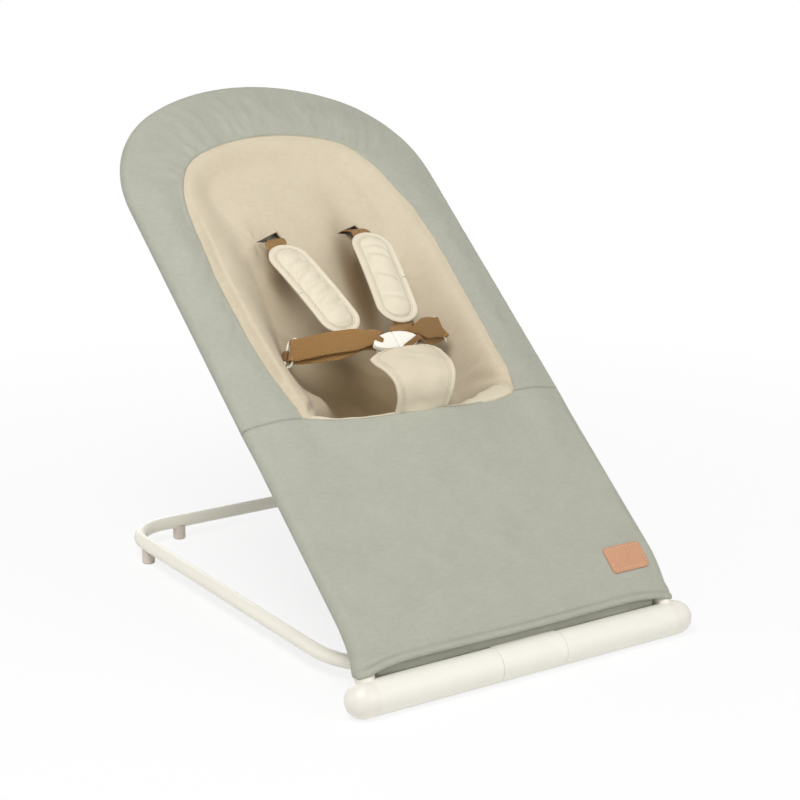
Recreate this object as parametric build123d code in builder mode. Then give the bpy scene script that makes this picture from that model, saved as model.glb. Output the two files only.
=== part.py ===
import os
from math import atan2, cos, hypot, radians, sin, sqrt, tan

from build123d import *

os.makedirs("parts", exist_ok=True)

# Driving dimensions in millimetres and degrees

# front bar that lies on the floor
bar_length = 440.0
bar_diameter = 37.0
hub_width = 82.0
cap_length = 30.0
sleeve_wall = 2.5
spigot_length = 18.0
spacer_width = 6.0
turning_gap = 0.4

# axle inside the bar
axle_diameter = 14.0
axle_wall = 1.5
axle_seat_depth = 14.0
running_clearance = 0.05
fit_clearance = 0.1
loose_clearance = 0.3

# base tube on the floor
base_tube_diameter = 15.5
base_tube_wall = 1.2
base_half_width = 178.5
base_rear = 570.0
base_front = 36.0
base_height = 22.0
base_front_radius = 95.0
base_rear_radius = 50.0
base_end_gap = 6.0

# rubber feet under the base tube
foot_diameter = 15.0
foot_stem_diameter = 6.0
foot_floor = 3.75
foot_edge = 1.0
side_foot_back = 58.0
rear_foot_half_spacing = 107.0

# hub that joins the base to the bar
hub_lobe_diameter = 23.0
bush_diameter = 20.0
bush_length = 12.0
screw_diameter = 3.5
screw_head_diameter = 7.0
screw_head_height = 2.5
screw_length = 18.0
screw_offsets = (-33.0, -17.0, 17.0, 33.0)

# click stops of the recline
wheel_diameter = 26.0
wheel_width = 12.0
wheel_side_gap = 1.0
wheel_pin_diameter = 3.0
stop_angles = (0.0, 10.0, 20.0, 30.0)
notch_radius = 0.95
nose_radius = 0.7
clip_gap = 1.0
clip_thickness = 0.8
clip_width = 10.0
clip_half_angle = 55.0
clip_tab = 2.6

# hoop that carries the seat
hoop_tube_diameter = 15.5
hoop_tube_wall = 1.2
hoop_half_width = 192.0
seat_angle = 39.0
leg_angle = 58.0
leg_reach = 65.0
leg_inner_end = 10.0
hoop_bend_radius = 120.0
hoop_bend_margin = 1.0
hoop_top = 730.0
hoop_corner_radius = 141.0
hoop_top_radius = 251.0
boss_diameter = 21.0
boss_reach = 24.0
leg_screw_length = 13.0

# fabric cover
fabric = 1.8
seam_at = 249.0
hem_reach = 29.0
border_thickness = 11.0
border_edge = 4.0
opening_half_width = 133.0
opening_top = 652.0
opening_corner_radius = 70.0
opening_top_radius = 230.0
opening_scoop = 16.0
panel_rise = 6.0
panel_rise_from = 120.0
back_depth = 98.0
back_top_margin = 8.0
back_low_reach = 45.0

# lining
bucket_thickness = 5.0
bucket_depth = 88.0
bucket_lap = 8.0

# bare patch
patch_width = 50.0
patch_height = 29.0
patch_thickness = 1.6
patch_centre = 159.0
patch_shift = 5.7

# harness
webbing_width = 25.0
webbing_thickness = 1.5
slit_half_spacing = 60.0
slit_at = 510.0
slit_length = 26.0
slit_level = -8.0
tongue_half_spacing = 20.0
knee_half_spacing = 36.0
knee_at = 336.0
knee_level = 41.9
knee_radius = 14.0
pad_length = 146.0
pad_width = 51.0
pad_thickness = 10.0
pad_start = 24.0
pad_edge = 4.0
waist_at = 300.0
waist_tilt = 24.0
waist_gap = 1.2
ring_distance = 107.0
ring_level = 2.0
ring_bar = 3.0
ring_pitch = 11.0
ring_margin = 1.0
anchor_length = 22.0
crotch_width = 70.0
crotch_thickness = 4.0
crotch_tail = 46.0
crotch_rise = 50.0
crotch_crown = 58.0
crotch_bend = 9.0
crotch_overlap = 23.0
crotch_clear = 8.0

# buckle
buckle_width = 50.0
buckle_length = 34.0
buckle_at = 294.0
buckle_level = 36.0
buckle_back_height = 5.0
buckle_front_height = 7.0
buckle_wall = 2.0
buckle_corner = 8.0
button_diameter = 16.0
button_flange = 2.0
button_flange_height = 1.5
button_travel = 2.0
spring_pressed = 4.2
tongue_length = 24.0
tongue_thickness = 2.6
tongue_insert = 9.0
tongue_split = 0.6
tongue_crown_out = 17.0
tongue_crown_drop = 4.5

# Values that follow from the driving dimensions

bar_radius = bar_diameter / 2
bar_half = bar_length / 2
cap_start = bar_half - cap_length
sleeve_inner_radius = bar_radius - sleeve_wall
axle_radius = axle_diameter / 2
hoop_radius = hoop_tube_diameter / 2
base_radius = base_tube_diameter / 2
roll_bore = hoop_radius + loose_clearance
roll_radius = roll_bore + fabric
turn = radians(leg_angle - seat_angle)
slope = radians(seat_angle)

# reach of the part in front of and behind the bar's axis, which centres it on the origin
vertex_y = leg_reach * cos(radians(leg_angle))
vertex_z = bar_radius + leg_reach * sin(radians(leg_angle))
rear_reach = vertex_y + hoop_top * cos(slope) + roll_radius
bar_y = (bar_radius - rear_reach) / 2

along = Vector(0, cos(slope), sin(slope))
normal = Vector(0, -sin(slope), cos(slope))
vertex = Vector(0, bar_y + vertex_y, vertex_z)
seat_plane = Plane(origin=vertex, x_dir=(1, 0, 0), z_dir=normal)
bar_plane = Plane(origin=(0, bar_y, bar_radius), x_dir=(0, 1, 0), z_dir=(1, 0, 0))


def seat_point(x, s, n):
    """Point at x across, s up the slope from the hoop's bend and n above the hoop's plane."""
    return vertex + Vector(x, 0, 0) + along * s + normal * n


def side_plane(x):
    """Plane square to the bar, with s to the right and n up."""
    return Plane(origin=seat_point(x, 0, 0), x_dir=along, z_dir=(1, 0, 0))


def cross_plane(s):
    """Plane square to the slope at s, with x to the right and n up."""
    return Plane(origin=seat_point(0, s, 0), x_dir=(1, 0, 0), z_dir=along * -1)


def leg_point(reach, offset=0.0):
    """Place on the leg at a reach from the bar's axis, in s and n."""
    back = reach - leg_reach
    return (back * cos(turn) - offset * sin(turn), back * sin(turn) + offset * cos(turn))


def bend_point(offset, angle):
    """Place on the hoop's bend, offset above its tube's axis, in s and n."""
    radius = hoop_bend_radius + offset
    tangent = hoop_bend_radius * tan(turn / 2)
    return (tangent - radius * sin(angle), radius * cos(angle) - hoop_bend_radius)


def draw_leg(first_reach, last_s, offset=0.0):
    """Leg, bend and straight of the hoop's side, drawn in s and n."""
    Line(leg_point(first_reach, offset), bend_point(offset, turn))
    ThreePointArc(bend_point(offset, turn), bend_point(offset, turn / 2), bend_point(offset, 0))
    Line(bend_point(offset, 0), (last_s, offset))


def arch_corner(half_width, top, corner, crown):
    """Height of the corner's centre and the point where it meets the crown."""
    inset = half_width - corner
    crown_centre = top - crown
    rise = sqrt((crown - corner) ** 2 - inset ** 2)
    share = crown / (crown - corner)
    return crown_centre + rise, (inset * share, crown_centre + rise * share)


def draw_arch(first_s, half_width, top, corner, crown):
    """Two straight sides, round corners and a crowned top, drawn in x and s."""
    centre_s, (meet_x, meet_s) = arch_corner(half_width, top, corner, crown)
    half_turn = atan2(meet_s - centre_s, meet_x - (half_width - corner)) / 2
    mid_x = half_width - corner + corner * cos(half_turn)
    mid_s = centre_s + corner * sin(half_turn)
    Line((half_width, first_s), (half_width, centre_s))
    ThreePointArc((half_width, centre_s), (mid_x, mid_s), (meet_x, meet_s))
    ThreePointArc((meet_x, meet_s), (0, top), (-meet_x, meet_s))
    ThreePointArc((-meet_x, meet_s), (-mid_x, mid_s), (-half_width, centre_s))
    Line((-half_width, centre_s), (-half_width, first_s))


def arch_half_width(s, half_width, top, corner, crown):
    """Half of the arch's width at s."""
    centre_s, (meet_x, meet_s) = arch_corner(half_width, top, corner, crown)
    if s <= centre_s:
        return half_width
    if s <= meet_s:
        return half_width - corner + sqrt(corner ** 2 - (s - centre_s) ** 2)
    return sqrt(crown ** 2 - (s - top + crown) ** 2)


hoop_shape = (hoop_half_width, hoop_top, hoop_corner_radius, hoop_top_radius)
opening_shape = (opening_half_width, opening_top, opening_corner_radius, opening_top_radius)


def hoop_wire(first_reach):
    """Axis of the whole hoop from one leg to the other."""
    straight_start = hoop_bend_radius * tan(turn / 2) + hoop_bend_margin
    edges = []
    with BuildLine(side_plane(hoop_half_width)) as right:
        draw_leg(first_reach, straight_start)
    with BuildLine(seat_plane) as arch:
        draw_arch(straight_start, *hoop_shape)
    with BuildLine(side_plane(-hoop_half_width)) as left:
        draw_leg(first_reach, straight_start)
    edges += right.edges()
    edges += arch.edges()
    edges += left.edges()
    return Wire(edges, sequenced=True)


def side_wire(side, first_reach, last_s):
    """Axis of one side of the hoop, from its leg up to a place on the straight."""
    with BuildLine(side_plane(side * hoop_half_width)) as line:
        draw_leg(first_reach, last_s)
    return line.wire()


def arch_wire(first_s):
    """Axis of the hoop above a place on its straights."""
    with BuildLine(seat_plane) as line:
        draw_arch(first_s, *hoop_shape)
    return line.wire()


def section_plane(path):
    """Plane square to a path at its start."""
    return Plane(origin=path @ 0, z_dir=path % 0)


def finish(builder, name):
    """Label a piece and write it."""
    builder.part.label = name
    export_step(builder.part, "parts/" + name + ".step")


sides = (("left", -1), ("right", 1))

# Base tube: one loop whose two ends meet inside the hub

foot_places = {
    "side_foot_left": (-base_half_width, bar_y + base_rear - side_foot_back),
    "side_foot_right": (base_half_width, bar_y + base_rear - side_foot_back),
    "rear_foot_left": (-rear_foot_half_spacing, bar_y + base_rear),
    "rear_foot_right": (rear_foot_half_spacing, bar_y + base_rear),
}

with BuildPart() as base_tube:
    with BuildLine(Plane.XY.offset(base_height)) as base_path:
        FilletPolyline(
            (base_end_gap / 2, bar_y + base_front),
            (base_half_width, bar_y + base_front),
            (base_half_width, bar_y + base_rear),
            (-base_half_width, bar_y + base_rear),
            (-base_half_width, bar_y + base_front),
            (-base_end_gap / 2, bar_y + base_front),
            radius=[base_front_radius, base_rear_radius, base_rear_radius, base_front_radius],
        )
    with BuildSketch(section_plane(base_path.wire())):
        Circle(base_radius)
        Circle(base_radius - base_tube_wall, mode=Mode.SUBTRACT)
    sweep(path=base_path.wire())
    with Locations([(x, y, base_height - base_radius) for x, y in foot_places.values()]):
        Cylinder(foot_stem_diameter / 2 + fit_clearance, base_radius, mode=Mode.SUBTRACT)
finish(base_tube, "base_tube")

for foot_name, (foot_x, foot_y) in foot_places.items():
    across_x = foot_name.startswith("rear")
    with BuildPart() as foot:
        with BuildSketch(Plane((foot_x, foot_y, 0))):
            Circle(foot_diameter / 2)
        extrude(amount=base_height - base_radius / 2)
        with BuildSketch(Plane((foot_x, foot_y, base_height), z_dir=(1, 0, 0) if across_x else (0, 1, 0))):
            Circle(base_radius + running_clearance)
        extrude(amount=foot_diameter, both=True, mode=Mode.SUBTRACT)
        with BuildSketch(Plane((foot_x, foot_y, foot_floor))):
            Circle(foot_stem_diameter / 2)
        extrude(amount=base_height - foot_floor - base_radius / 2)
        chamfer(foot.edges().group_by(Axis.Z)[0], foot_edge)
    finish(foot, foot_name)

# Hub: two shells, split through the axes of the bar and of the base tube

hub_tilt = atan2(base_height - bar_radius, base_front)
hub_reach = hypot(base_front, base_height - bar_radius)
hub_along = Vector(0, cos(hub_tilt), sin(hub_tilt))
hub_up = Vector(0, -sin(hub_tilt), cos(hub_tilt))
hub_origin = Vector(0, bar_y, bar_radius)
hub_profile_plane = Plane(origin=hub_origin, x_dir=hub_along, z_dir=(1, 0, 0))
hub_split_plane = Plane(origin=hub_origin, x_dir=(1, 0, 0), z_dir=hub_up)
clip_inner = wheel_diameter / 2 + clip_gap
clip_outer = clip_inner + clip_thickness
cavity_radius = clip_outer + loose_clearance
cavity_half_width = wheel_width / 2 + wheel_side_gap
screw_row = (bush_diameter / 2 + hub_reach - base_radius) / 2
clip_ends = [(cos(radians(a)), sin(radians(a))) for a in (90 - clip_half_angle, 90 + clip_half_angle)]


def hub_shell(name, keep, head_side):
    """One shell of the hub; the screws' heads sit in the lower one."""
    with BuildPart() as shell:
        with BuildSketch(hub_profile_plane):
            Circle(bar_radius)
            with Locations((hub_reach, 0)):
                Circle(hub_lobe_diameter / 2)
            make_hull()
        extrude(amount=hub_width / 2, both=True)
        with BuildSketch(hub_profile_plane):
            Circle(bush_diameter / 2 + fit_clearance)
            with Locations((hub_reach, 0)):
                Circle(base_radius + fit_clearance)
        extrude(amount=hub_width / 2, both=True, mode=Mode.SUBTRACT)
        with BuildSketch(hub_profile_plane):
            Circle(cavity_radius)
            for end_x, end_y in clip_ends:
                with Locations((end_x * cavity_radius, end_y * cavity_radius)):
                    Circle(clip_tab / 2 + loose_clearance)
        extrude(amount=cavity_half_width, both=True, mode=Mode.SUBTRACT)
        split(bisect_by=hub_split_plane, keep=keep)
        with BuildSketch(hub_split_plane):
            for place in screw_offsets:
                with Locations((place, screw_row)):
                    Circle(screw_diameter / 2 + fit_clearance)
        extrude(amount=screw_length / 2 + fit_clearance, both=True, mode=Mode.SUBTRACT)
        if head_side:
            with BuildSketch(hub_split_plane.offset(-screw_length / 2)):
                for place in screw_offsets:
                    with Locations((place, screw_row)):
                        Circle(screw_head_diameter / 2 + fit_clearance)
            extrude(amount=-bar_diameter, mode=Mode.SUBTRACT)
    finish(shell, name)


hub_shell("hub_upper_shell", Keep.TOP, False)
hub_shell("hub_lower_shell", Keep.BOTTOM, True)

with BuildPart() as hub_screws:
    with BuildSketch(hub_split_plane.offset(-screw_length / 2)):
        for place in screw_offsets:
            with Locations((place, screw_row)):
                Circle(screw_diameter / 2)
    extrude(amount=screw_length)
    with BuildSketch(hub_split_plane.offset(-screw_length / 2)):
        for place in screw_offsets:
            with Locations((place, screw_row)):
                Circle(screw_head_diameter / 2)
    extrude(amount=-screw_head_height)
finish(hub_screws, "hub_screws")

for side_name, side in sides:
    with BuildPart() as bush:
        with BuildSketch(bar_plane.offset(side * (hub_width - bush_length) / 2)):
            Circle(bush_diameter / 2)
            Circle(axle_radius + running_clearance, mode=Mode.SUBTRACT)
        extrude(amount=bush_length / 2, both=True)
    finish(bush, "hub_bush_" + side_name)

# Click stops: a notched wheel on the axle and a sprung clip in the upper shell

with BuildPart() as detent_wheel:
    with BuildSketch(hub_profile_plane):
        Circle(wheel_diameter / 2)
        Circle(axle_radius + fit_clearance, mode=Mode.SUBTRACT)
        for stop in stop_angles:
            notch_turn = radians(90 + stop)
            with Locations((wheel_diameter / 2 * cos(notch_turn), wheel_diameter / 2 * sin(notch_turn))):
                Circle(notch_radius, mode=Mode.SUBTRACT)
    extrude(amount=wheel_width / 2, both=True)
    with BuildSketch(Plane(origin=hub_origin, x_dir=(1, 0, 0), z_dir=hub_along)):
        Circle(wheel_pin_diameter / 2 + fit_clearance)
    extrude(amount=wheel_diameter, both=True, mode=Mode.SUBTRACT)
finish(detent_wheel, "detent_wheel")

with BuildPart() as wheel_pin:
    with BuildSketch(Plane(origin=hub_origin, x_dir=(1, 0, 0), z_dir=hub_along)):
        Circle(wheel_pin_diameter / 2)
    extrude(amount=wheel_diameter / 2 - clip_gap, both=True)
finish(wheel_pin, "wheel_pin")

with BuildPart() as detent_spring:
    clip_middle = (clip_inner + clip_outer) / 2
    with BuildSketch(hub_profile_plane):
        with BuildLine():
            CenterArc((0, 0), clip_middle, 90 - clip_half_angle, 2 * clip_half_angle)
        trace(line_width=clip_thickness)
        with Locations((0, clip_inner + clip_thickness / 2 - nose_radius)):
            Circle(nose_radius)
        for end_x, end_y in clip_ends:
            with Locations((end_x * cavity_radius, end_y * cavity_radius)):
                Circle(clip_tab / 2)
    extrude(amount=clip_width / 2, both=True)
finish(detent_spring, "detent_spring")

# Bar: axle, sleeves, spacers and end caps, which turn with the hoop

axle_half = cap_start - spigot_length + axle_seat_depth

with BuildPart() as axle_tube:
    with BuildSketch(bar_plane):
        Circle(axle_radius)
        Circle(axle_radius - axle_wall, mode=Mode.SUBTRACT)
    extrude(amount=axle_half, both=True)
    with BuildSketch(Plane(origin=hub_origin, x_dir=(1, 0, 0), z_dir=hub_along)):
        Circle(wheel_pin_diameter / 2 + fit_clearance)
    extrude(amount=axle_diameter, both=True, mode=Mode.SUBTRACT)
finish(axle_tube, "axle_tube")

leg_dir = Vector(0, cos(radians(leg_angle)), sin(radians(leg_angle)))
leg_back = Vector(0, sin(radians(leg_angle)), -cos(radians(leg_angle)))
screw_reach = (leg_inner_end + bar_radius) / 2


def leg_plane(side, reach):
    """Plane square to a leg at a reach from the bar's axis."""
    origin = hub_origin + Vector(side * hoop_half_width, 0, 0) + leg_dir * reach
    return Plane(origin=origin, x_dir=(1, 0, 0), z_dir=leg_dir)


def leg_screw_plane(side):
    """Plane through the leg's axis that looks along its screw, towards the back."""
    origin = hub_origin + Vector(side * hoop_half_width, 0, 0) + leg_dir * screw_reach
    return Plane(origin=origin, x_dir=(1, 0, 0), z_dir=leg_back)


for side_name, side in sides:
    sleeve_start = hub_width / 2 + turning_gap
    with BuildPart() as sleeve:
        with BuildSketch(bar_plane.offset(side * sleeve_start)):
            Circle(bar_radius)
            Circle(sleeve_inner_radius, mode=Mode.SUBTRACT)
        extrude(amount=side * (cap_start - sleeve_start))
        with BuildSketch(leg_plane(side, 0)):
            Circle(boss_diameter / 2 + loose_clearance)
        extrude(amount=boss_reach + bar_radius, mode=Mode.SUBTRACT)
        with BuildSketch(leg_screw_plane(side)):
            Circle(screw_head_diameter / 2 + loose_clearance)
        extrude(amount=bar_diameter, mode=Mode.SUBTRACT)
    finish(sleeve, "bar_sleeve_" + side_name)

    with BuildPart() as spacer:
        with BuildSketch(bar_plane.offset(side * (sleeve_start + cap_start) / 2)):
            Circle(sleeve_inner_radius - fit_clearance)
            Circle(axle_radius + fit_clearance, mode=Mode.SUBTRACT)
        extrude(amount=spacer_width / 2, both=True)
    finish(spacer, "sleeve_spacer_" + side_name)

    with BuildPart() as cap:
        with BuildSketch(Plane(origin=hub_origin, x_dir=(side, 0, 0), z_dir=(0, -side, 0))):
            with BuildLine():
                dome_start = bar_half - bar_radius
                spigot_radius = sleeve_inner_radius - fit_clearance
                Polyline(
                    (bar_half, 0),
                    (cap_start - spigot_length, 0),
                    (cap_start - spigot_length, spigot_radius),
                    (cap_start, spigot_radius),
                    (cap_start, bar_radius),
                    (dome_start, bar_radius),
                )
                diagonal = bar_radius * sqrt(0.5)
                ThreePointArc((dome_start, bar_radius), (dome_start + diagonal, diagonal), (bar_half, 0))
            make_face()
        revolve(axis=Axis(hub_origin, (1, 0, 0)))
        with BuildSketch(leg_plane(side, 0)):
            Circle(boss_diameter / 2)
        extrude(amount=boss_reach)
        with BuildSketch(bar_plane.offset(side * (cap_start - spigot_length))):
            Circle(axle_radius + fit_clearance)
        extrude(amount=side * (axle_seat_depth + fit_clearance), mode=Mode.SUBTRACT)
        with BuildSketch(leg_plane(side, leg_inner_end)):
            Circle(hoop_radius + fit_clearance)
        extrude(amount=bar_diameter, mode=Mode.SUBTRACT)
        with BuildSketch(leg_screw_plane(side)):
            Circle(screw_diameter / 2 + fit_clearance)
        extrude(amount=leg_screw_length, mode=Mode.SUBTRACT)
        with BuildSketch(leg_screw_plane(side).offset(leg_screw_length - screw_head_height)):
            Circle(screw_head_diameter / 2 + fit_clearance)
        extrude(amount=bar_diameter, mode=Mode.SUBTRACT)
    finish(cap, "end_cap_" + side_name)

with BuildPart() as leg_screws:
    for side_name, side in sides:
        with BuildSketch(leg_screw_plane(side)):
            Circle(screw_diameter / 2)
        extrude(amount=leg_screw_length - screw_head_height)
        with BuildSketch(leg_screw_plane(side).offset(leg_screw_length - screw_head_height)):
            Circle(screw_head_diameter / 2)
        extrude(amount=screw_head_height)
finish(leg_screws, "leg_screws")

# Hoop

with BuildPart() as hoop_tube:
    hoop_path = hoop_wire(leg_inner_end)
    with BuildSketch(section_plane(hoop_path)):
        Circle(hoop_radius)
        Circle(hoop_radius - hoop_tube_wall, mode=Mode.SUBTRACT)
    sweep(path=hoop_path)
    for side_name, side in sides:
        with BuildSketch(leg_screw_plane(side)):
            Circle(screw_diameter / 2 + fit_clearance)
        extrude(amount=hoop_tube_diameter, mode=Mode.SUBTRACT)
finish(hoop_tube, "hoop_tube")

# Cover: border over the hoop, front panel and under layer

border_low = bucket_thickness - loose_clearance

with BuildPart() as cover_border:
    border_path = arch_wire(seam_at + fit_clearance)
    with BuildSketch(section_plane(border_path)):
        Circle(roll_radius)
    sweep(path=border_path)
    with BuildSketch(seat_plane.offset(border_low)):
        with BuildLine():
            draw_arch(seam_at + fit_clearance, *hoop_shape)
            Line((hoop_half_width, seam_at + fit_clearance), (-hoop_half_width, seam_at + fit_clearance))
        make_face()
    extrude(amount=border_thickness)
    with BuildSketch(seat_plane.offset(border_low)):
        with BuildLine():
            draw_arch(seam_at, *opening_shape)
            Line((opening_half_width, seam_at), (-opening_half_width, seam_at))
        make_face()
    extrude(amount=border_thickness, mode=Mode.SUBTRACT)
    crown = cover_border.faces().filter_by(seat_plane).sort_by(Axis(vertex, normal))[-1]
    above_seam = seam_at + border_edge
    crown_edges = [edge for edge in crown.edges() if seat_plane.to_local_coords(edge @ 0.5).Y > above_seam]
    fillet(crown_edges, border_edge)
    with BuildSketch(section_plane(border_path)):
        Circle(roll_bore)
    sweep(path=border_path, mode=Mode.SUBTRACT)
finish(cover_border, "cover_border")

panel_offset = roll_bore + fabric / 2
panel_top = (seam_at - fit_clearance, panel_offset + panel_rise)

with BuildPart() as lower_panel:
    for side_name, side in sides:
        roll_path = side_wire(side, hem_reach, seam_at - fit_clearance)
        with BuildSketch(section_plane(roll_path)):
            Circle(roll_radius)
        sweep(path=roll_path)
    with BuildSketch(side_plane(0)):
        with BuildLine():
            draw_leg(hem_reach, panel_rise_from, panel_offset)
            Line((panel_rise_from, panel_offset), panel_top)
        trace(line_width=fabric)
    extrude(amount=hoop_half_width, both=True)
    with BuildSketch(seat_plane):
        with BuildLine():
            scoop_low = (0, seam_at - opening_scoop)
            ThreePointArc((-opening_half_width, seam_at), scoop_low, (opening_half_width, seam_at))
            Polyline(
                (opening_half_width, seam_at),
                (opening_half_width, seam_at + opening_scoop),
                (-opening_half_width, seam_at + opening_scoop),
                (-opening_half_width, seam_at),
            )
        make_face()
    extrude(amount=roll_radius + panel_rise + fabric, mode=Mode.SUBTRACT)
    for side_name, side in sides:
        roll_path = side_wire(side, hem_reach, seam_at - fit_clearance)
        with BuildSketch(section_plane(roll_path)):
            Circle(roll_bore)
        sweep(path=roll_path, mode=Mode.SUBTRACT)
finish(lower_panel, "lower_panel")


def draw_dish(half_width, edge, middle, thickness):
    """Sagging sheet's section, drawn in x and n, with its upper face at edge and middle."""
    ThreePointArc((-half_width, edge), (0, middle), (half_width, edge))
    Line((half_width, edge), (half_width, edge - thickness))
    ThreePointArc((half_width, edge - thickness), (0, middle - thickness), (-half_width, edge - thickness))
    Line((-half_width, edge - thickness), (-half_width, edge))


def draw_inset(shape, inset):
    """Arch sizes drawn in by an inset."""
    return tuple(size - inset for size in shape)


def up_slope(first, last, share):
    """Place between two others."""
    return first + share * (last - first)


# the under layer hangs between the rolls of the cover
back_shape = draw_inset(hoop_shape, roll_radius + loose_clearance)
back_low_s, back_low_n = leg_point(back_low_reach)
back_top_s = back_shape[1] - back_top_margin

# place up the slope, level of the edges and share of the depth
back_stations = (
    (back_low_s, back_low_n, 0.01),
    (up_slope(back_low_s, seam_at, 0.22), 0.0, 0.26),
    (up_slope(back_low_s, seam_at, 0.44), 0.0, 0.60),
    (up_slope(back_low_s, seam_at, 0.67), 0.0, 0.88),
    (seam_at, 0.0, 1.0),
    (up_slope(seam_at, back_top_s, 0.20), 0.0, 0.86),
    (up_slope(seam_at, back_top_s, 0.40), 0.0, 0.64),
    (up_slope(seam_at, back_top_s, 0.60), 0.0, 0.38),
    (up_slope(seam_at, back_top_s, 0.76), 0.0, 0.20),
    (up_slope(seam_at, back_top_s, 0.87), 0.0, 0.12),
    (up_slope(seam_at, back_top_s, 0.95), 0.0, 0.07),
    (back_top_s, 0.0, 0.04),
)

with BuildPart() as back_panel:
    for station, edge, share in back_stations:
        with BuildSketch(cross_plane(station)):
            with BuildLine():
                draw_dish(arch_half_width(station, *back_shape), edge, edge - back_depth * share, fabric)
            make_face()
    loft(ruled=True)
finish(back_panel, "back_panel")

# Patch on the front panel, round the hoop's bend

with BuildPart() as leather_patch:
    patch_offset = roll_radius + fit_clearance + patch_thickness / 2
    patch_mid_angle = turn / 2 - patch_shift / (hoop_bend_radius + patch_offset)
    patch_half_angle = patch_height / 2 / (hoop_bend_radius + patch_offset)
    with BuildSketch(side_plane(patch_centre)):
        with BuildLine():
            ThreePointArc(
                bend_point(patch_offset, patch_mid_angle - patch_half_angle),
                bend_point(patch_offset, patch_mid_angle),
                bend_point(patch_offset, patch_mid_angle + patch_half_angle),
            )
        trace(line_width=patch_thickness)
    extrude(amount=patch_width / 2, both=True)
finish(leather_patch, "leather_patch")

# Buckle, parallel to the seat plane

buckle_split = buckle_level + buckle_back_height
buckle_top = buckle_split + buckle_front_height
buckle_upper_end = buckle_at + buckle_length / 2
tongue_tip = buckle_upper_end - tongue_insert
tongue_top = tongue_tip + tongue_length
tongue_outer = buckle_width / 2 - 2 * buckle_wall - loose_clearance
flange_radius = button_diameter / 2 + button_flange
button_at = tongue_tip - flange_radius - 2 * loose_clearance
flange_low = buckle_top - buckle_wall - loose_clearance - button_flange_height
pocket_low = flange_low - button_travel - spring_pressed


def buckle_outline():
    """Rounded outline that both halves of the buckle share."""
    with Locations((0, buckle_at)):
        RectangleRounded(buckle_width, buckle_length, buckle_corner)


def button_circle(radius, mode=Mode.ADD):
    """Circle about the button's axis."""
    with Locations((0, button_at)):
        Circle(radius, mode=mode)


with BuildPart() as buckle_back:
    with BuildSketch(seat_plane.offset(buckle_level)):
        buckle_outline()
    extrude(amount=buckle_back_height)
    with BuildSketch(seat_plane.offset(pocket_low)):
        button_circle(flange_radius + loose_clearance)
    extrude(amount=buckle_split - pocket_low, mode=Mode.SUBTRACT)
finish(buckle_back, "buckle_back")

with BuildPart() as buckle_front:
    with BuildSketch(seat_plane.offset(buckle_split)):
        buckle_outline()
    extrude(amount=buckle_front_height)
    with BuildSketch(seat_plane.offset(buckle_split)):
        button_circle(flange_radius + loose_clearance)
    extrude(amount=buckle_front_height - buckle_wall, mode=Mode.SUBTRACT)
    with BuildSketch(seat_plane.offset(buckle_split)):
        button_circle(button_diameter / 2 + loose_clearance)
    extrude(amount=buckle_front_height, mode=Mode.SUBTRACT)
    with BuildSketch(seat_plane.offset(buckle_split)):
        with Locations((0, buckle_upper_end)):
            Rectangle(2 * (tongue_outer + loose_clearance), 2 * (tongue_insert + fit_clearance))
    extrude(amount=tongue_thickness + loose_clearance, mode=Mode.SUBTRACT)
finish(buckle_front, "buckle_front")

with BuildPart() as buckle_button:
    with BuildSketch(seat_plane.offset(flange_low)):
        button_circle(flange_radius)
    extrude(amount=button_flange_height)
    with BuildSketch(seat_plane.offset(flange_low)):
        button_circle(button_diameter / 2)
    extrude(amount=buckle_top - flange_low)
finish(buckle_button, "buckle_button")

with BuildPart() as button_spring:
    with BuildSketch(seat_plane.offset(pocket_low)):
        button_circle(button_diameter / 2 - buckle_wall)
        button_circle(button_diameter / 2 - 2 * buckle_wall, Mode.SUBTRACT)
    extrude(amount=button_travel + spring_pressed)
finish(button_spring, "button_spring")

tongue_low = buckle_split + fit_clearance
strap_level = tongue_low + tongue_thickness / 2
shoulder_level = strap_level + 1.5 * webbing_thickness + loose_clearance

for side_name, side in sides:
    shoulder = (side * buckle_width / 2, buckle_upper_end + fit_clearance)
    with BuildPart() as tongue:
        with BuildSketch(seat_plane.offset(tongue_low)):
            with BuildLine():
                Polyline(
                    (side * tongue_split / 2, tongue_top),
                    (side * tongue_split / 2, tongue_tip),
                    (side * tongue_outer, tongue_tip),
                    (side * tongue_outer, buckle_upper_end + fit_clearance),
                    shoulder,
                )
                ThreePointArc(
                    shoulder,
                    (side * tongue_crown_out, tongue_top - tongue_crown_drop),
                    (side * tongue_split / 2, tongue_top),
                )
            make_face()
        extrude(amount=tongue_thickness)
    finish(tongue, "buckle_tongue_" + side_name)

# Shoulder straps, each one straight run from its slit that bends in to its tongue, with a pad round it


def shoulder_run(side):
    """Run of a shoulder strap and the plane it lies in, with its length along x."""
    slit = seat_point(side * slit_half_spacing, slit_at, slit_level)
    knee = seat_point(side * knee_half_spacing, knee_at, knee_level)
    run = knee - slit
    strap_up = run.cross(normal).cross(run)
    return run.length, Plane(origin=slit, x_dir=run, z_dir=strap_up)


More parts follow.
